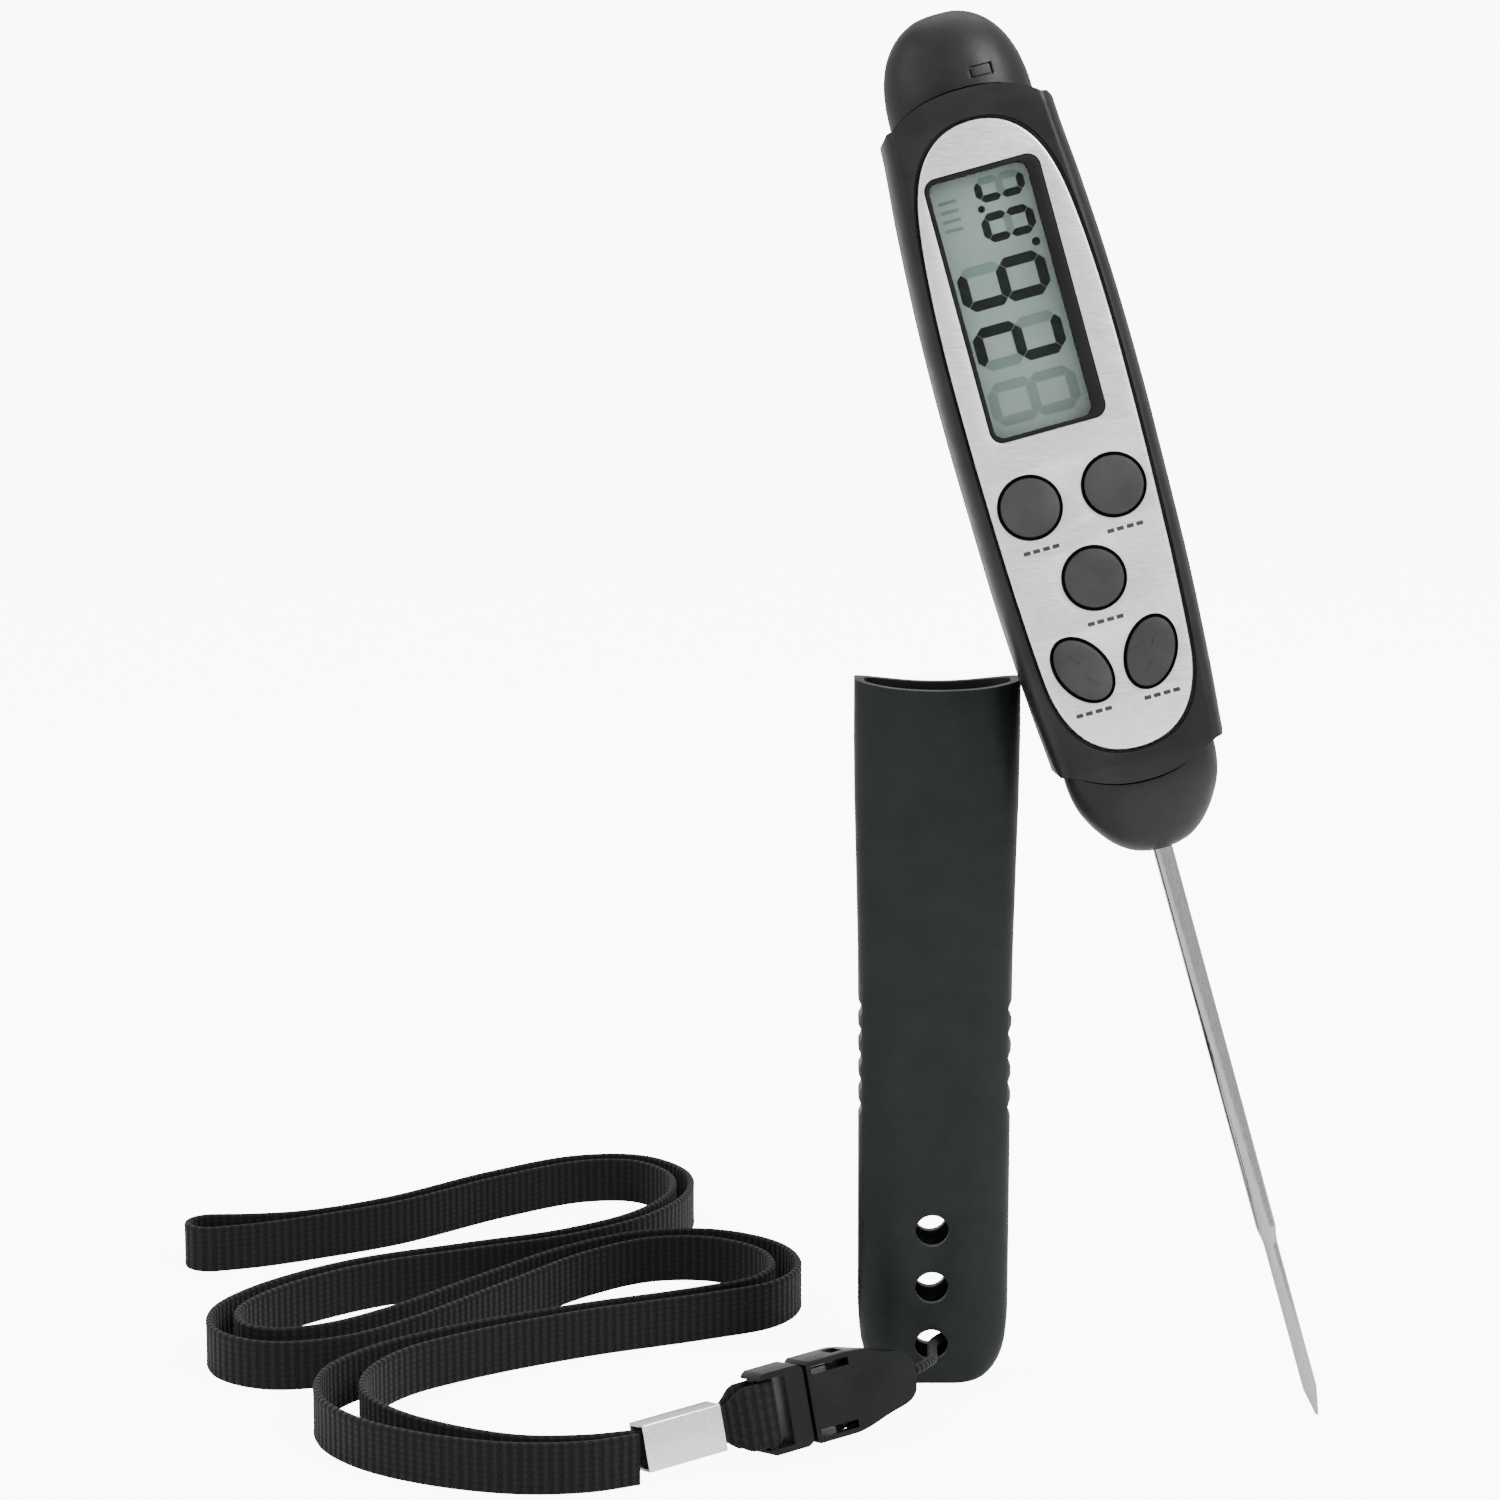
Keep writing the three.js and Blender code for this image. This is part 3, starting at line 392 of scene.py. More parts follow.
def box(name, low, high):
    """A box between two corners, in millimetres."""
    centre = [(a + b) / 2 * MM for a, b in zip(low, high)]
    size = [(b - a) * MM for a, b in zip(low, high)]
    bpy.ops.mesh.primitive_cube_add(size=1, location=centre, scale=size)
    obj = bpy.context.active_object
    obj.name = name
    settled(obj)
    return obj


def slab(name, outline, near, far, edge=0.0, steps=3):
    """A flat outline of (x, z) points given thickness in y, its near rim rounded by edge."""
    curve = bpy.data.curves.new(name, "CURVE")
    curve.dimensions = "2D"
    curve.fill_mode = "BOTH"
    spline = curve.splines.new("POLY")
    spline.points.add(len(outline) - 1)
    for point, (x, z) in zip(spline.points, outline):
        point.co = (x * MM, z * MM, 0, 1)
    spline.use_cyclic_u = True
    curve.extrude = (far - near) / 2 * MM
    obj = linked(name, curve)
    select_only(obj)
    bpy.ops.object.convert(target="MESH")
    obj.rotation_euler = (math.pi / 2, 0, 0)
    obj.location = (0, (near + far) / 2 * MM, 0)
    settled(obj)
    editing_all(obj)
    bpy.ops.mesh.remove_doubles(threshold=1e-6)
    bpy.ops.mesh.normals_make_consistent(inside=False)
    finished_editing()
    if edge:
        pick_faces(obj, lambda c, n: n.y < -0.99)
        editing(obj)
        bpy.ops.mesh.region_to_loop()
        bpy.ops.mesh.bevel(offset=edge * MM, segments=steps, affect="EDGES")
        finished_editing()
    return obj


def turned(name, profile, depth_scale=1.0, steps=96):
    """A solid of revolution about z from (radius, z) pairs, squashed in depth."""
    mesh = bpy.data.meshes.new(name)
    mesh.from_pydata([(r * MM, 0, z * MM) for r, z in profile],
                     [(i, i + 1) for i in range(len(profile) - 1)], [])
    obj = linked(name, mesh)
    editing_all(obj, "VERT")
    bpy.ops.mesh.spin(steps=steps, angle=2 * math.pi, center=(0, 0, 0), axis=(0, 0, 1))
    bpy.ops.mesh.select_all(action="SELECT")
    bpy.ops.mesh.remove_doubles(threshold=1e-7)
    bpy.ops.mesh.normals_make_consistent(inside=False)
    bpy.ops.transform.resize(value=(1, depth_scale, 1), center_override=(0, 0, 0))
    finished_editing()
    return obj


def corner(centre, radii, start, steps):
    """Points of a quarter ellipse round a corner."""
    angles = [math.radians(start + 90 * i / steps) for i in range(steps + 1)]
    return [(centre[0] + radii[0] * math.cos(a), centre[1] + radii[1] * math.sin(a)) for a in angles]


def section(half, near, far, front, back, steps):
    """Plan of a body between two depths, with its own corner radii at the front and at the back."""
    return (corner((half - front[0], near + front[1]), front, -90, steps)
            + corner((half - back[0], far - back[1]), back, 0, steps)
            + corner((back[0] - half, far - back[1]), back, 90, steps)
            + corner((front[0] - half, near + front[1]), front, 180, steps))


def loft(name, stations, ring):
    """Draws a ring of (x, y) up through stations of (z, width factor, depth factor)."""
    z, wide, deep = stations[0]
    mesh = bpy.data.meshes.new(name)
    count = len(ring)
    mesh.from_pydata([(x * wide * MM, y * deep * MM, z * MM) for x, y in ring], [],
                     [tuple(reversed(range(count)))])
    obj = linked(name, mesh)
    editing_all(obj)
    for (z0, w0, d0), (z1, w1, d1) in zip(stations, stations[1:]):
        bpy.ops.mesh.extrude_region_move(TRANSFORM_OT_translate={"value": (0, 0, (z1 - z0) * MM)})
        bpy.ops.transform.resize(value=(w1 / w0, d1 / d0, 1), center_override=(0, 0, z1 * MM))
    bpy.ops.mesh.select_all(action="SELECT")
    bpy.ops.mesh.normals_make_consistent(inside=False)
    finished_editing()
    return obj


def smooth_between(pairs, steps):
    """More (z, value) pairs, on a smooth curve through the given ones."""
    line = [Vector((z, v, 0)) for z, v in pairs]
    return [(p.x, p.y) for p in through(line, steps)]


def through(points, steps):
    """Centripetal curve through points, with that many steps between each two."""
    out = []
    last = len(points) - 1
    for i in range(last):
        p1, p2 = points[i], points[i + 1]
        p0 = points[i - 1] if i else p1 * 2 - p2
        p3 = points[i + 2] if i + 2 <= last else p2 * 2 - p1
        t1 = (p1 - p0).length ** 0.5
        t2 = t1 + (p2 - p1).length ** 0.5
        t3 = t2 + (p3 - p2).length ** 0.5
        for k in range(steps):
            t = t1 + (t2 - t1) * k / steps
            a1 = p0 * ((t1 - t) / t1) + p1 * (t / t1)
            a2 = p1 * ((t2 - t) / (t2 - t1)) + p2 * ((t - t1) / (t2 - t1))
            a3 = p2 * ((t3 - t) / (t3 - t2)) + p3 * ((t - t2) / (t3 - t2))
            b1 = a1 * ((t2 - t) / t2) + a2 * (t / t2)
            b2 = a2 * ((t3 - t) / (t3 - t1)) + a3 * ((t - t1) / (t3 - t1))
            out.append(b1 * ((t2 - t) / (t2 - t1)) + b2 * ((t - t1) / (t2 - t1)))
    out.append(points[-1].copy())
    return out


def joined(name, pieces):
    select_only(*pieces)
    bpy.ops.object.join()
    whole = bpy.context.active_object
    whole.name = name
    return whole


def painted(obj, material):
    obj.data.materials.clear()
    obj.data.materials.append(MAT[material])
    return obj


# ---- Placing ----
def placed(obj, matrix):
    obj.matrix_world = matrix
    settled(obj)
    return obj


def dressed(pieces, place):
    """Places, paints and hands over the drawn pieces, each given under the node that it replaces."""
    for node, (piece, material, slot_name, body) in pieces.items():
        placed(piece, place)
        painted(piece, material)
        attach(piece, body)
        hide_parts(node)


THERMOMETER_PLACE = (Matrix.Translation(Vector(PROBE_POINT) * MM)
                     @ Matrix.Rotation(-LEAN_BACK, 4, "X") @ Matrix.Rotation(-LEAN_SIDE, 4, "Y")
                     @ Matrix.Translation((0, 0, -POINT_Z * MM)))
SHEATH_PLACE = Matrix.Translation(Vector(SHEATH_CENTRE) * MM)
BUCKLE_PLACE = (Matrix.Translation(Vector(BUCKLE_START) * MM)
                @ Matrix.Rotation(BUCKLE_YAW, 4, "Z") @ Matrix.Rotation(-BUCKLE_PITCH, 4, "Y")
                @ Matrix.Rotation(-BUCKLE_LEAN, 4, "X"))


# ---- Lanyard strap ----
def strap_path():
    """One strand of the doubled strap, its far bend, and the other strand back, in millimetres."""
    samples = through([Vector(p) for p in LANYARD_ROUTE], STRAP_STEPS)
    strands = []
    for side in (-1, 1):
        strand = []
        for i, s in enumerate(samples):
            before, after = samples[max(i - 1, 0)], samples[min(i + 1, len(samples) - 1)]
            along = Vector((after.x - before.x, after.y - before.y)).normalized()
            strand.append(Vector((s.x - along.y * s.z * side, s.y + along.x * s.z * side)))
        strands.append(strand)
    centre = Vector((samples[-1].x, samples[-1].y))
    start = strands[0][-1] - centre
    bend = []
    for i in range(1, FAR_BEND_STEPS):
        turn = Matrix.Rotation(math.pi * i / FAR_BEND_STEPS, 2)
        bend.append(centre + turn @ start)
    return strands[0] + bend + strands[1][::-1]


def even_path(points, spacing):
    """The same path with points at an even spacing."""
    out = [points[0].copy()]
    gone = 0.0
    for a, b in zip(points, points[1:]):
        length = (b - a).length
        while length and gone + length >= spacing * len(out):
            out.append(a.lerp(b, (spacing * len(out) - gone) / length))
        gone += length
    if (points[-1] - out[-1]).length > spacing * 0.5:
        out.append(points[-1].copy())
    return out


def swept(name, centres, sideways, upward, ring):
    """A closed tube: ring of (across, up) offsets carried along the centres, with a map in metres."""
    count = len(ring)
    verts, faces, uvs = [], [], []
    around = [0.0]
    for a, b in zip(ring, ring[1:] + ring[:1]):
        around.append(around[-1] + math.dist(a, b) * MM)
    along = [0.0]
    for a, b in zip(centres, centres[1:]):
        along.append(along[-1] + (b - a).length * MM)
    for centre, side, up in zip(centres, sideways, upward):
        for across, rise in ring:
            verts.append((centre + side * across + up * rise) * MM)
    for i in range(len(centres) - 1):
        for j in range(count):
            k = (j + 1) % count
            faces.append((i * count + j, i * count + k, (i + 1) * count + k, (i + 1) * count + j))
            uvs.append([(along[i], around[j]), (along[i], around[j + 1]),
                        (along[i + 1], around[j + 1]), (along[i + 1], around[j])])
    end = (len(centres) - 1) * count
    faces.append(tuple(reversed(range(count))))
    uvs.append([(along[0], around[j]) for j in reversed(range(count))])
    faces.append(tuple(end + j for j in range(count)))
    uvs.append([(along[-1], around[j]) for j in range(count)])
    mesh = bpy.data.meshes.new(name)
    mesh.from_pydata(verts, [], faces)
    layer = mesh.uv_layers.new(name="along_and_round")
    flat = [uv for face in uvs for uv in face]
    for loop, uv in zip(layer.data, flat):
        loop.uv = uv
    obj = linked(name, mesh)
    editing_all(obj)
    bpy.ops.mesh.normals_make_consistent(inside=False)
    finished_editing()
    return obj


def along_path(centres):
    """Unit directions at each point of a path."""
    return [(centres[min(i + 1, len(centres) - 1)] - centres[max(i - 1, 0)]).normalized()
            for i in range(len(centres))]


def ribbon_ring(width, thickness):
    """Cross-section of webbing: rounded selvedges, slightly thicker than the middle."""
    half, thick = width / 2, thickness / 2
    side = []
    for i in range(13):
        up = -half + 0.35 + (width - 0.7) * i / 12
        edge = abs(up) / half
        side.append((thick * (0.86 + 0.14 * edge ** 6), up))
    top = [(thick * 0.62, half - 0.08), (0, half), (-thick * 0.62, half - 0.08)]
    return side + top + [(-x, y) for x, y in reversed(side)] + [(-x, -y) for x, y in top]


def make_strap():
    flat = even_path(strap_path(), 0.8)
    centres = [Vector((p.x, p.y, STRAP_WIDTH / 2)) for p in flat]
    directions = along_path(centres)
    up = Vector((0, 0, 1))
    sideways = [direction.cross(up).normalized() for direction in directions]
    strap = swept("lanyard_webbing", centres, sideways, [up] * len(centres),
                  ribbon_ring(STRAP_WIDTH, STRAP_THICKNESS))
    smooth(strap, 60)
    painted(strap, "strap")
    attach(strap, "lanyard")
    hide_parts("lanyard_strap")
    return strap, [c * MM for c in centres]


def make_tether():
    centres = through([Vector(p) for p in TETHER_ROUTE], TETHER_STEPS)
    ring = [(TETHER_RADIUS * math.cos(math.tau * i / 14), TETHER_RADIUS * math.sin(math.tau * i / 14))
            for i in range(14)]
    directions = along_path(centres)
    sideways, upward = [], []
    for direction in directions:
        side = direction.cross(Vector((0, 0, 1))).normalized()
        sideways.append(side)
        upward.append(side.cross(direction).normalized())
    tether = swept("tether", centres, sideways, upward, ring)
    bpy.ops.mesh.primitive_uv_sphere_add(segments=40, ring_count=24, radius=KNOT_RADIUS * MM,
                                         location=Vector(KNOT_CENTRE) * MM)
    knot = bpy.context.active_object
    knot.name = "tether_knot"
    settled(knot)
    smooth(knot, 60)
    painted(knot, "cord")
    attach(knot, "sheath")
    smooth(tether, 60)
    painted(tether, "cord")
    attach(tether, "sheath")
    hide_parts("tether_cord")
    return tether, knot, [c * MM for c in centres]


strap, strap_line = make_strap()
tether, tether_knot, tether_line = make_tether()


# ---- Crimp, folded tail and buckle ----
def rounded_outline(half_x, half_z, radius, centre_z=0.0, steps=8):
    points = []
    for sx, sz, start in ((1, -1, -90), (1, 1, 0), (-1, 1, 90), (-1, -1, 180)):
        points += corner((sx * (half_x - radius), centre_z + sz * (half_z - radius)),
                         (radius, radius), start, steps)
    return points


def bezier(p0, p1, p2, p3, steps):
    """Points of a cubic curve from p0, which is left out, to p3."""
    points = []
    for i in range(1, steps + 1):
        t = i / steps
        points.append(tuple(
            a * (1 - t) ** 3 + 3 * b * t * (1 - t) ** 2 + 3 * c * t * t * (1 - t) + d * t ** 3
            for a, b, c, d in zip(p0, p1, p2, p3)))
    return points


def make_crimp():
    """A strip of sheet metal folded round the strap, its lapped seam on the hidden face."""
    low, high = BUCKLE_AXIS_Z - CRIMP_HALF_HEIGHT, BUCKLE_AXIS_Z + CRIMP_HALF_HEIGHT
    crimp = box("crimp_sleeve", (0, -CRIMP_HALF_DEPTH, low), (CRIMP_LENGTH, CRIMP_HALF_DEPTH, high))
    pick_faces(crimp, lambda c, n: abs(n.x) > 0.9)
    editing(crimp)
    bpy.ops.mesh.inset(thickness=0.36 * MM)
    bpy.ops.mesh.delete(type="FACE")
    bpy.ops.mesh.select_mode(type="EDGE")
    bpy.ops.mesh.select_all(action="DESELECT")
    finished_editing()
    mesh = crimp.data
    inner = (CRIMP_HALF_DEPTH - 0.15) * MM
    for edge in mesh.edges:
        a, b = (mesh.vertices[i].co for i in edge.vertices)
        edge.select = abs(a.y) < inner and abs(b.y) < inner and abs(a.x - b.x) < 1e-6
    editing(crimp, "EDGE")
    bpy.ops.mesh.bridge_edge_loops()
    bpy.ops.mesh.select_all(action="SELECT")
    bpy.ops.mesh.normals_make_consistent(inside=False)
    finished_editing()
    round_edges(crimp, 0.3, 4, 40)
    groove = box("crimp_fold", (0.9, 1.62, 2.9), (9.5, 2.2, 3.02))
    cut_away(crimp, groove)
    smooth(crimp, 35)
    return crimp


def make_tail():
    """The strap's end, folded round the buckle's bar and spreading there."""
    half = [(-0.2, 0.62), (5.0, 0.62), (11.0, 0.66), (12.6, 1.1), (14.2, 1.66),
            (TAIL_BEND_X, TAIL_BEND_RADIUS)]
    leg = through([Vector((x, -y, 0)) for x, y in half], 8)
    bend = [Vector((TAIL_BEND_X + TAIL_BEND_RADIUS * math.sin(a), -TAIL_BEND_RADIUS * math.cos(a), 0))
            for a in [math.pi * i / 10 for i in range(1, 10)]]
    line = leg + bend + [Vector((p.x, -p.y, 0)) for p in reversed(leg)]
    centres, ups = [], []
    for p in line:
        spread = min(max((p.x - 10.6) / 3.4, 0), 1)
        spread = spread * spread * (3 - 2 * spread)
        centres.append(Vector((p.x, p.y, BUCKLE_AXIS_Z)))
        ups.append(Vector((0, 0, 1 + TAIL_SPREAD * spread)))
    directions = along_path([Vector((c.x, c.y, 0)) for c in centres])
    sideways = [d.cross(Vector((0, 0, 1))).normalized() for d in directions]
    tail = swept("strap_fold", centres, sideways, ups, ribbon_ring(TAIL_WIDTH, 0.95))
    smooth(tail, 60)
    return tail


def make_socket():
    """The half with side windows; it narrows to a rounded end with a pocket for the tether."""
    end, half = SOCKET_LENGTH, BUCKLE_HALF_HEIGHT
    upper = [(end, 1.2)] + bezier((end, 1.2), (end, 2.3), (13.5, 3.0), (12.1, 3.3), 8)
    upper += bezier((12.1, 3.3), (9.0, 3.9), (7.4, 4.8), (5.4, half), 8) + [(0.35, half), (0, 4.55)]
    outline = [(x, BUCKLE_AXIS_Z + z) for x, z in upper]
    outline += [(x, BUCKLE_AXIS_Z - z) for x, z in reversed(upper)]
    socket = slab("buckle_shell", outline, -2.6, 2.6)
    round_edges(socket, 0.75, 4, 50)
    middle = BUCKLE_AXIS_Z
    cut_away(socket, box("bore", (-1, -1.3, middle - 3.7), (6.2, 1.3, middle + 3.7)),
             box("tip_bore", (6, -1.3, middle - 2.6), (8.9, 1.3, middle + 2.6)),
             box("side_windows", (4.3, -1.3, -6), (6.0, 1.3, 12)),
             box("upper_slot", (0.6, -4, middle + 3.3), (5.7, 4, middle + 4.25)),
             box("lower_slot", (0.6, -4, middle - 4.25), (5.7, 4, middle - 3.3)),
             box("tether_pocket", (9.8, -1.4, middle - 1.1), (20, 1.4, middle + 1.1)))
    smooth(socket, 30)
    for vertex in socket.data.vertices:
        vertex.co.x += SOCKET_START * MM
    return socket


def make_plug():
    """The half with the bar for the strap, two barbed arms and a guide between them."""
    middle = BUCKLE_AXIS_Z
    outline = [(x + 18.5, z) for x, z in rounded_outline(3.0, BUCKLE_HALF_HEIGHT, 1.0, middle)]
    plug = slab("buckle_catch", outline, -2.3, 2.3)
    round_edges(plug, 0.55, 4, 50)
    cut_away(plug, box("slot", (16.3, -4, middle - 4.15), (18.9, 4, middle + 4.15)),
             box("band", (14, 0.85, middle - 4.15), (16.5, 4, middle + 4.15)),
             box("band", (14, -4, middle - 4.15), (16.5, -0.85, middle + 4.15)))
    arm = [(20.6, 2.0), (27.5, 2.0), (27.6, 2.4), (27.5, 3.6), (27.3, 4.3), (26.3, 4.3),
           (26.2, 3.2), (20.6, 3.2)]
    pieces = [slab("arm", [(x, middle + z) for x, z in arm], -1.0, 1.0),
              slab("arm", [(x, middle - z) for x, z in reversed(arm)], -1.0, 1.0)]
    pieces.append(box("guide", (20.6, -0.8, middle - 0.5), (29.4, 0.8, middle + 0.5)))
    unite(plug, *pieces)
    smooth(plug, 30)
    return plug


buckle_pieces = {
    "crimp": (make_crimp(), "crimp", "crimp", "lanyard"),
    "strap_tail": (make_tail(), "strap", "strap", "lanyard"),
    "buckle_plug": (make_plug(), "buckle", "buckle", "lanyard"),
    "buckle_socket": (make_socket(), "buckle", "buckle", "sheath"),
}
dressed(buckle_pieces, BUCKLE_PLACE)


# ---- Sheath ----
def sheath_body(name, inset, floor=0.0):
    """The sheath's outer form, or its hollow: the same form, smaller by inset and raised by floor."""
    deep, half = SHEATH_HALF_DEPTH - inset, SHEATH_HALF_WIDTH - inset
    edge = (half * 0.55, deep * 0.72)
    ring = section(half, -deep, deep, edge, edge, 14)
    low = [(0.0, 5.4, 3.9), (0.12, 5.95, 3.96), (0.4, 6.45, 4.0), (0.9, 7.0, 4.06), (1.6, 7.6, 4.1),
           (2.5, 8.12, 4.13), (3.6, 8.56, 4.15), (5.0, 8.9, 4.17), (6.8, 9.12, 4.19),
           (9.0, SHEATH_HALF_WIDTH, SHEATH_HALF_DEPTH)]
    high = [(22, 9.29, 4.2), (40, 9.34, 4.22), (54, 9.45, 4.25), (66, 9.75, 4.3), (73, 9.95, 4.32),
            (80, MOUTH_HALF_WIDTH, 4.35), (92, MOUTH_HALF_WIDTH, 4.35)]
    stations = [(z + floor, (w - inset) / half, (d - inset) / deep) for z, w, d in low]
    stations += [(z, (w - inset) / half, (d - inset) / deep) for z, w, d in high]
    return loft(name, stations, ring)


def along_y(name, radius, near, far, x, z, vertices):
    """A cylinder lying along y."""
    bpy.ops.mesh.primitive_cylinder_add(
        vertices=vertices, radius=radius * MM, depth=(far - near) * MM,
        location=(x * MM, (near + far) / 2 * MM, z * MM), rotation=(math.pi / 2, 0, 0))
    obj = bpy.context.active_object
    obj.name = name
    settled(obj)
    return obj


def make_sheath():
    sheath = sheath_body("sheath_shell", 0)
    hollow = sheath_body("sheath_hollow", SHEATH_WALL, SHEATH_FLOOR)
    radius = (MOUTH_HALF_WIDTH ** 2 + MOUTH_DIP ** 2) / (2 * MOUTH_DIP)
    mouth = along_y("mouth_cut", radius, -10, 10, 0, SHEATH_HEIGHT - MOUTH_DIP + radius, 400)
    top = box("above_mouth", (-15, -10, SHEATH_HEIGHT), (15, 10, 110))
    tools = [hollow, mouth, top]
    tools += [along_y("drain_hole", HOLE_RADIUS, -10, 10, HOLE_X, z, 40) for z in HOLE_HEIGHTS]
    groove_x = GROOVE_EDGE_X + GROOVE_RADIUS - GROOVE_DEPTH
    for z in GROOVE_HEIGHTS:
        for side in (-1, 1):
            tools.append(along_y("finger_groove", GROOVE_RADIUS, -10, 10, side * groove_x, z, 40))
    cut_away(sheath, *tools)
    round_edges(sheath, 0.26, 3, 40)
    smooth(sheath, 40)
    return sheath


sheath = placed(make_sheath(), SHEATH_PLACE)
painted(sheath, "sheath")
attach(sheath, "sheath")
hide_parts("sheath")


# ---- Thermometer housing ----
def mirrored(right):
    """Adds the left half to a right half given from its lowest to its highest point."""
    return right + [(-x, z) for x, z in reversed(right) if x > 1e-6]


def plate_outline(grow, steps=16):
    low, high, wide = PLATE_LOW - grow, PLATE_HIGH + grow, PLATE_HALF_WIDTH + grow
    right = [(0, low)]
    right += bezier(right[-1], (5.2 + grow, low), (8.0 + grow, low + 3.6), (8.8 + grow, low + 9.2), steps)
    right += bezier(right[-1], (9.4 + grow, low + 15), (wide, low + 30), (wide, 129), steps)
    right += bezier(right[-1], (wide, 140), (9.3 + grow, high - 10.4), (8.2 + grow, high - 7), steps)
    right += bezier(right[-1], (6.9 + grow, high - 2.6), (4.2 + grow, high), (0, high), steps)
    return mirrored(right)


def shoulder_outline(grow, steps=14):
    """Front view of the housing's two end joints; its flanks lie outside the housing."""
    low, high, tongue = SHOULDER_LOW - grow, SHOULDER_HIGH + grow, NOSE_TONGUE - grow
    half, flank = SHOULDER_HALF_WIDTH, SHOULDER_FLANK_X
    right = [(0, tongue)]
    right += bezier(right[-1], (4.6, tongue), (6.8, low - 0.9), (9.0, low), steps)
    right += [(9.85, low + 0.1), (half, low + 0.8), (flank, low + 3), (flank, high - 3),
              (half, high - 0.8), (9.75, high - 0.1), (9.0, high)]
    tongue = CAP_TONGUE + grow
    right += bezier(right[-1], (7, high + 1.6), (4.6, tongue), (0, tongue), steps)
    return mirrored(right)


WAIST = smooth_between([(76, 10.1), (82, 10.25), (90, 10.9), (102, 11.6), (114, 11.9),
                        (126, HOUSING_HALF_WIDTH), (138, 11.85), (150, 11.2), (157, 10.6), (165, 10.2)], 4)


def housing_body(name, inset, near, far, front, back):
    widest = HOUSING_HALF_WIDTH - inset
    ring = section(widest, near, far, front, back, 12)
    return loft(name, [(z, (half - inset) / widest, 1) for z, half in WAIST], ring)


def ellipse(at, radii, turn, steps=64):
    angle = math.radians(turn)
    points = []
    for i in range(steps):
        a = math.tau * i / steps
        x, z = radii[0] * math.cos(a), radii[1] * math.sin(a)
        points.append((at[0] + x * math.cos(angle) - z * math.sin(angle),
                       at[1] + x * math.sin(angle) + z * math.cos(angle)))
    return points


KEYS = {  # centre (x, z), radii across and along, and turn in degrees
    "key_upper_left": ((-5.1, 113.85), (3.45, 3.45), 0),
    "key_upper_right": ((5.1, 113.85), (3.45, 3.45), 0),
    "key_centre": ((0, 103.9), (3.45, 3.45), 0),
    "key_lower_left": ((-4.15, 93.8), (2.7, 4.1), 29),
    "key_lower_right": ((4.15, 93.8), (2.7, 4.1), -29),
}


def window_outline(shrink):
    half_x, half_z = WINDOW_SIZE[0] / 2 - shrink, WINDOW_SIZE[1] / 2 - shrink
    outline = rounded_outline(half_x, half_z, max(1.6 - shrink, 0.5), WINDOW_CENTRE_Z)
    return [(x + WINDOW_X, z) for x, z in outline]


def key_cutters(near, far):
    return [slab("key_hole", ellipse(at, [r + KEY_CLEARANCE for r in radii], turn), near, far)
            for at, radii, turn in KEYS.values()]


def neck(name, half, deep, low, high, radius=3.0):
    """An upright bar with rounded corners: a plug of the nose or the cap, or the room for one."""
    ring = section(half, -deep, deep, (radius, radius), (radius, radius), 8)
    return loft(name, [(low, 1, 1), (high, 1, 1)], ring)


def make_housing(front):
    name = "housing_front" if front else "housing_back"
    body = housing_body(name, 0, FRONT_Y, BACK_Y, (2.0, 3.8), (4.2, 4.6))
    keep_common(body, slab("shoulders", shoulder_outline(0), -20, 20))
    inner = housing_body("inner", HOUSING_WALL, FRONT_Y + 2.2, BACK_Y - HOUSING_WALL,
                         (1.0, 2.2), (3.6, 3.9))
    keep_common(inner, box("inner_length", (-12, -9, 84.2), (12, 9, 157.5)))
    tools = [inner]
    tools += [neck("neck_room", *NECK_HALF_SIZE, *ends) for ends in NECK_ENDS]
    near, far = (-SEAM_HALF_WIDTH, 12) if front else (-12, SEAM_HALF_WIDTH)
    tools.append(box("other_half", (-15, near, 60), (15, far, 180)))
    if front:
        tools.append(slab("plate_recess", plate_outline(PLATE_GAP), FRONT_Y - 2, -6.6))
        tools.append(slab("window_hole", window_outline(0), FRONT_Y - 2, FRONT_Y + 2.7))
        tools += key_cutters(FRONT_Y - 2, FRONT_Y + 2.7)
    cut_away(body, *tools)
    round_edges(body, 0.14, 2, 40)
    smooth(body, 34)
    return body


def make_plate():
    plate = slab("plate_sheet", plate_outline(0), PLATE_FRONT_Y, PLATE_BACK_Y, 0.28, 3)
    cut_away(plate, slab("window_hole", window_outline(0), -9, -6), *key_cutters(-9, -6))
    round_edges(plate, 0.07, 2, 50)
    smooth(plate, 30)
    return plate


def make_gasket():
    gasket = slab("window_frame", window_outline(0.1), -7.66, -5.7)
    # Opening shifted left: the wide dark band on the right is painted shade of the window recess, and the
    # thin bands elsewhere are the gasket itself.
    opening = [(x + GASKET_SHADE_SHIFT_X, z)
               for x, z in rounded_outline(*GASKET_HALF_OPENING, 1.2, WINDOW_CENTRE_Z)]
    cut_away(gasket, slab("opening", opening, -9, -5))
    round_edges(gasket, 0.1, 2, 50)
    smooth(gasket, 30)
    return gasket


def make_key(name):
    """A key with a slightly raised face and a flange that keeps it behind the plate."""
    at, radii, turn = KEYS[name]
    cap = slab(name, ellipse(at, radii, turn), KEY_TOP_Y, KEY_FOOT_Y)
    pick_faces(cap, lambda c, n: n.y < -0.99)
    editing(cap)
    for width, rise in KEY_CROWN:
        bpy.ops.mesh.inset(thickness=width * MM)
        bpy.ops.transform.translate(value=(0, -rise * MM, 0))
    finished_editing()
    rim = ellipse(at, [r + KEY_FLANGE for r in radii], turn)
    flange = slab("key_flange", rim, KEY_FLANGE_Y, KEY_FOOT_Y)
    unite(cap, flange)
    round_edges(cap, 0.22, 3, 45)
    smooth(cap, 40)
    return cap


def dome_profile(points):
    """A smooth run of (radius, z) through the given ones."""
    return [(max(p.x, 0.0), p.y) for p in through([Vector((r, z, 0)) for r, z in points], 8)]


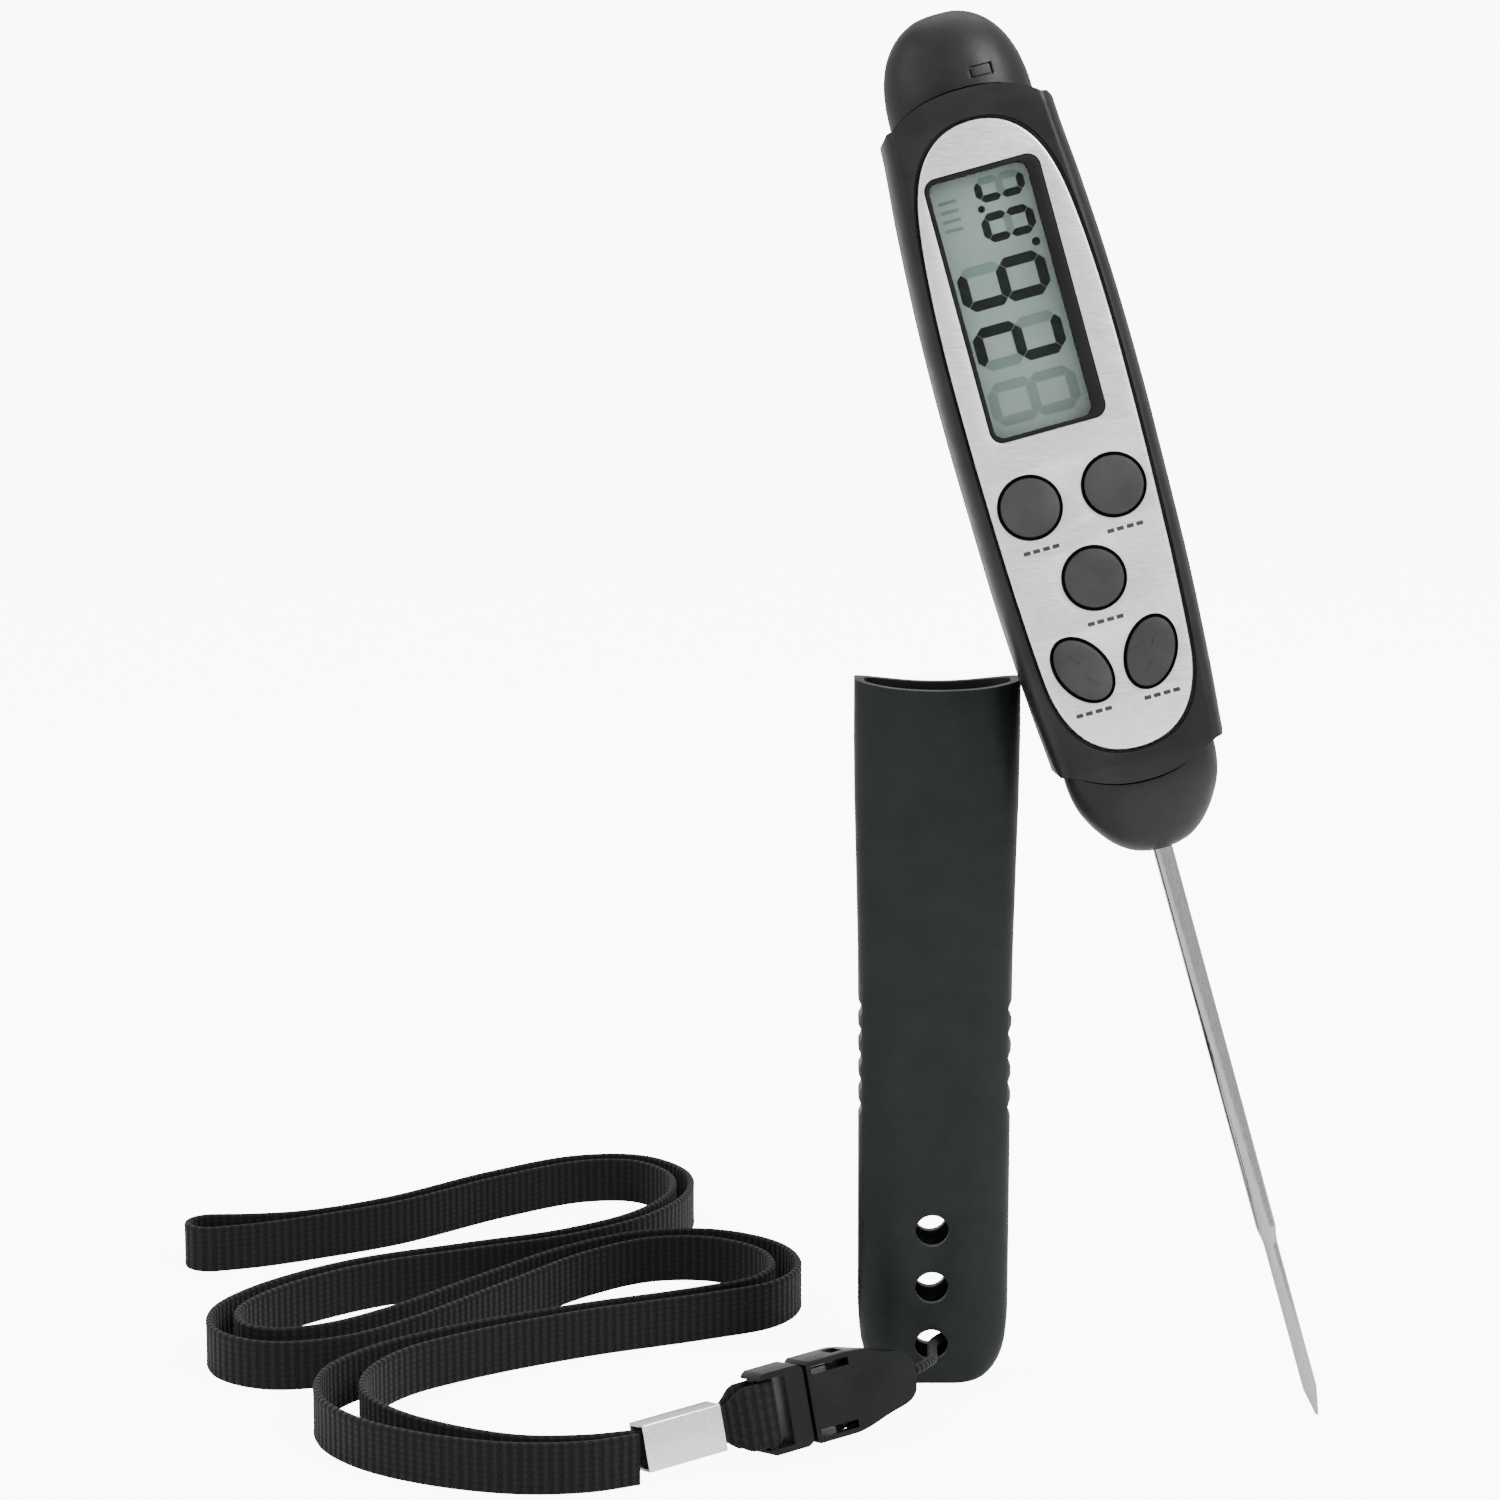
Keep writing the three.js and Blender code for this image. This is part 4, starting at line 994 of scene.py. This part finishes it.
def make_cap():
    """The battery cap: dome, plug with a groove for its seal, and a small frame cut into its front."""
    profile = [(0, CAP_START), (8.75, CAP_START)] + dome_profile(
        [(8.8, 159.5), (8.8, 161.4), (8.65, 164.0), (8.1, 166.8), (7.0, 169.3), (5.2, 171.4), (2.8, 172.7),
         (0, CAP_END)])
    cap = turned("cap_dome", profile, CAP_SQUASH)
    cut_away(cap, slab("housing_joint", shoulder_outline(JOINT_GAP), -20, 20))
    plug = neck("cap_plug", *PLUG_HALF_SIZE, 158.5, 165, PLUG_CORNER)
    groove = neck("seal_groove", 8, 6, 159.7, 161.2, PLUG_CORNER)
    cut_away(groove, neck("groove_core", 5.7, 3.1, 159, 162, 1.9))
    cut_away(plug, groove)
    unite(cap, plug)
    mark = slab("frame_mark", rounded_outline(1.4, 0.75, 0.2, 0), -9, 0)
    cut_away(mark, slab("frame_core", rounded_outline(1.15, 0.5, 0.12, 0), -10, 1))
    mark.location = (3.0 * MM, 0, 164.75 * MM)
    settled(mark)
    skin_profile = [(0, CAP_START)] + [(r * 0.972, z) for r, z in profile[1:-1]] + [(0, CAP_END - 0.3)]
    skin = turned("mark_depth", skin_profile, 0.705)
    cut_away(mark, skin)
    cut_away(cap, mark)
    round_edges(cap, 0.1, 2, 45)
    smooth(cap, 36)
    return cap


def make_nose():
    """The nose: dome, plug and a bore for the probe, wider where its bush sits."""
    profile = [(0, NOSE_END), (1.6, NOSE_END)] + dome_profile(
        [(1.8, 70.37), (3.6, 70.95), (5.5, 72.3), (7.35, 74.6), (8.65, 77.2), (9.2, 79.8),
         (9.25, 83.5)]) + [(0, 83.5)]
    nose = turned("nose_dome", profile, NOSE_SQUASH)
    cut_away(nose, slab("housing_joint", shoulder_outline(JOINT_GAP), -20, 20))
    unite(nose, neck("nose_plug", *PLUG_HALF_SIZE, 76, 84.6, PLUG_CORNER))
    for radius, top in ((1.5, 90), (1.7, 73.6)):
        cut_away(nose, turned("bore", [(0, 60), (radius, 60), (radius, top), (0, top)], 1, 40))
    round_edges(nose, 0.14, 2, 45)
    smooth(nose, 36)
    return nose


def make_probe():
    """Drawn steel tube, swaged to a thinner end and closed to a sharp point."""
    outer = [(0, POINT_Z), (0.1, -0.97), (0.2, -0.8), (0.5, 0.7), (0.8, 2.2), (0.85, 2.5), (0.85, 20.4),
             (0.88, 20.9), (1.0, 21.8), (1.16, 22.5), (1.2, 22.9), (1.2, 79.8), (1.15, 80.0)]
    inner = [(1.0, 80.0), (0.95, 79.8), (0.95, 23.0), (0.65, 21.4), (0.65, 3.2), (0.3, 2.8), (0, 2.6)]
    probe = turned("probe_stem", outer + inner, 1, 64)
    smooth(probe, 30)
    return probe


thermometer_pieces = {
    "front_shell": (make_housing(True), "housing", "housing", "thermometer"),
    "rear_shell": (make_housing(False), "housing", "housing", "thermometer"),
    "face_plate": (make_plate(), "plate", "face_plate", "thermometer"),
    "window_gasket": (make_gasket(), "gasket", "gasket", "thermometer"),
    "battery_cap": (make_cap(), "housing", "housing", "battery_cap"),
    "nose": (make_nose(), "housing", "housing", "thermometer"),
    "probe_tube": (make_probe(), "probe", "probe", "thermometer"),
}
for key_name in KEYS:
    thermometer_pieces[key_name] = (make_key(key_name), "key", "keys", key_name)
dressed(thermometer_pieces, THERMOMETER_PLACE)


# ---- Display ----
SEGMENTS = {  # centre (across, up) and direction of each bar, in halves of a digit's width and height
    "a": (0, 1, "across"), "d": (0, -1, "across"), "g": (0, 0, "across"),
    "b": (1, 0.5, "up"), "c": (1, -0.5, "up"), "e": (-1, -0.5, "up"), "f": (-1, 0.5, "up"),
}
# The lit bars of each character
LIT = {"2": "abged", "6": "afgcde", "0": "abcdef", "C": "afed", " ": ""}


def segment_bar(length, breadth):
    """One hexagonal bar lying along x, its front on y = 0."""
    half, point = length / 2, breadth / 2
    outline = [(-half, 0), (-half + point, -point), (half - point, -point), (half, 0),
               (half - point, point), (-half + point, point)]
    return slab("bar", outline, 0, SEGMENT_THICKNESS)


def digit(character, base, tall, wide, breadth):
    """Bars of one character, lit and unlit. It reads upwards: its top is to -X, its right to +Z."""
    lit, unlit = [], []
    for letter, (across, up, way) in SEGMENTS.items():
        length = wide - breadth if way == "across" else (tall - breadth) / 2
        bar = segment_bar(length - 0.08, breadth)
        right = across * (wide - breadth) / 2
        rise = up * (tall - breadth) / 2
        bar.rotation_euler = (0, math.pi / 2 if way == "across" else 0, 0)
        bar.location = ((base[0] - rise) * MM, DISPLAY_Y * MM, (base[1] + right) * MM)
        settled(bar)
        (lit if letter in LIT[character] else unlit).append(bar)
    return lit, unlit


def on_display(name, outline):
    return slab(name, outline, DISPLAY_Y, DISPLAY_Y + SEGMENT_THICKNESS)


def dot(x, z, radius):
    return on_display("dot", ellipse((x, z), (radius, radius), 0, 20))


CHARACTERS = [  # character, centre x and z, height, width and breadth of its bars
    (" ", -1.0, 126.4, 10.7, 5.2, 1.2),
    ("2", -0.95, 133.1, 10.7, 5.2, 1.25),
    ("6", -0.9, 140.3, 10.7, 5.3, 1.25),
    ("0", 1.45, 146.7, 6.3, 3.5, 0.95),
    ("C", 1.55, 151.2, 6.0, 3.0, 0.9),
]


def make_characters():
    """The display's lit and unlit marks, each set joined into one piece."""
    lit, unlit = [], []
    for character, x, z, tall, wide, breadth in CHARACTERS:
        on, off = digit(character, (x, z), tall, wide, breadth)
        lit += on
        unlit += off
    lit += [dot(4.0, 143.8, 0.5), dot(-1.2, 149.1, 0.42)]
    for i in range(4):
        unlit.append(on_display("caption", rounded_outline(1.1, 0.2, 0.1, 147.6 + i * 1.1)))
        unlit[-1].location = (-4.9 * MM, 0, 0)
        settled(unlit[-1])
    return joined("display_lit", lit), joined("display_unlit", unlit)


def make_key_captions():
    """Plain printed dashes under each key."""
    dashes = []
    for (x, z), _, _ in KEYS.values():
        for step in (-1.75, -0.6, 0.6, 1.75):
            outline = [(x + step + across, z - 5.15 + up)
                       for across, up in rounded_outline(0.42, 0.24, 0.1)]
            dashes.append(slab("dash", outline, CAPTION_Y, CAPTION_BACK_Y))
    return joined("key_captions", dashes)


captions = make_key_captions()
lit_bars, unlit_bars = make_characters()
for piece, material, slot_name in ((captions, "ink", "face_plate"), (lit_bars, "digit", "display"),
                                   (unlit_bars, "ghost", "display")):
    placed(piece, THERMOMETER_PLACE)
    painted(piece, material)
    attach(piece, "thermometer")

# ---- Finishes of the pieces that keep their drawn shape ----
KEPT = {
    "window_lens": "cover", "display_panel": "display", "zebra_strip": "zebra",
    "circuit_board": "board", "control_chip": "chip", "keypad_membrane": "membrane",
    "cap_seal": "seal", "battery_carrier": "carrier", "button_cell": "cell",
    "contact_minus": "contact", "contact_plus": "contact", "probe_seal": "bush",
    "thermistor": "bead", "sensor_lead_left": "lead_red", "sensor_lead_right": "lead_black",
}
for node, material in KEPT.items():
    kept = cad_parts[node]
    for material_slot in kept.material_slots:
        material_slot.material = MAT[material]
    smooth(kept, 30)

# ---- Floor and light ----
bpy.ops.mesh.primitive_plane_add(size=40, location=(0, 0, 0))
floor = bpy.context.active_object
floor.name = "floor"
floor_finish = Finish("floor_white", (0.93, 0.93, 0.93), 0.8)
# Seen directly, the floor glows like a lit sweep; in reflections and bounces it is plain white.
floor_output = floor_finish.tree.nodes["Material Output"]
connect = floor_finish.tree.links.new
seen = floor_finish.node("ShaderNodeLightPath").outputs["Is Camera Ray"]
glow = floor_finish.node("ShaderNodeEmission", {"Strength": floor_finish.spread(seen, 0, 9.0, 0, 1)})
lit_floor = floor_finish.node("ShaderNodeAddShader")
connect(floor_finish.shader.outputs[0], lit_floor.inputs[0])
connect(glow.outputs[0], lit_floor.inputs[1])
connect(lit_floor.outputs[0], floor_output.inputs["Surface"])
floor.data.materials.append(floor_finish.material)

world = bpy.data.worlds.new("studio")
bpy.context.scene.world = world
world.use_nodes = True
sky = world.node_tree
backdrop = sky.nodes["Background"]
backdrop.inputs["Color"].default_value = (1, 1, 1, 1)
sky_seen = sky.nodes.new("ShaderNodeLightPath")
sky_level = sky.nodes.new("ShaderNodeMapRange")
sky_level.inputs["To Min"].default_value = 0.95
sky_level.inputs["To Max"].default_value = 10
sky.links.new(sky_seen.outputs["Is Camera Ray"], sky_level.inputs["Value"])
sky.links.new(sky_level.outputs["Result"], backdrop.inputs["Strength"])


def soft_light(name, at, towards, size, power):
    data = bpy.data.lights.new(name, "AREA")
    data.shape = "RECTANGLE"
    data.size, data.size_y = size
    data.energy = power
    light = linked(name, data)
    light.location = at
    light.rotation_euler = (Vector(towards) - Vector(at)).to_track_quat("-Z", "Y").to_euler()


soft_light("key_light", (0.55, -0.45, 0.7), (0, 0, 0.08), (0.4, 0.4), 9)
soft_light("fill_light", (-0.7, -0.3, 0.5), (0, 0, 0.08), (0.6, 0.6), 2)
soft_light("top_light", (0, 0.25, 0.95), (0, 0, 0.05), (0.8, 0.8), 4)
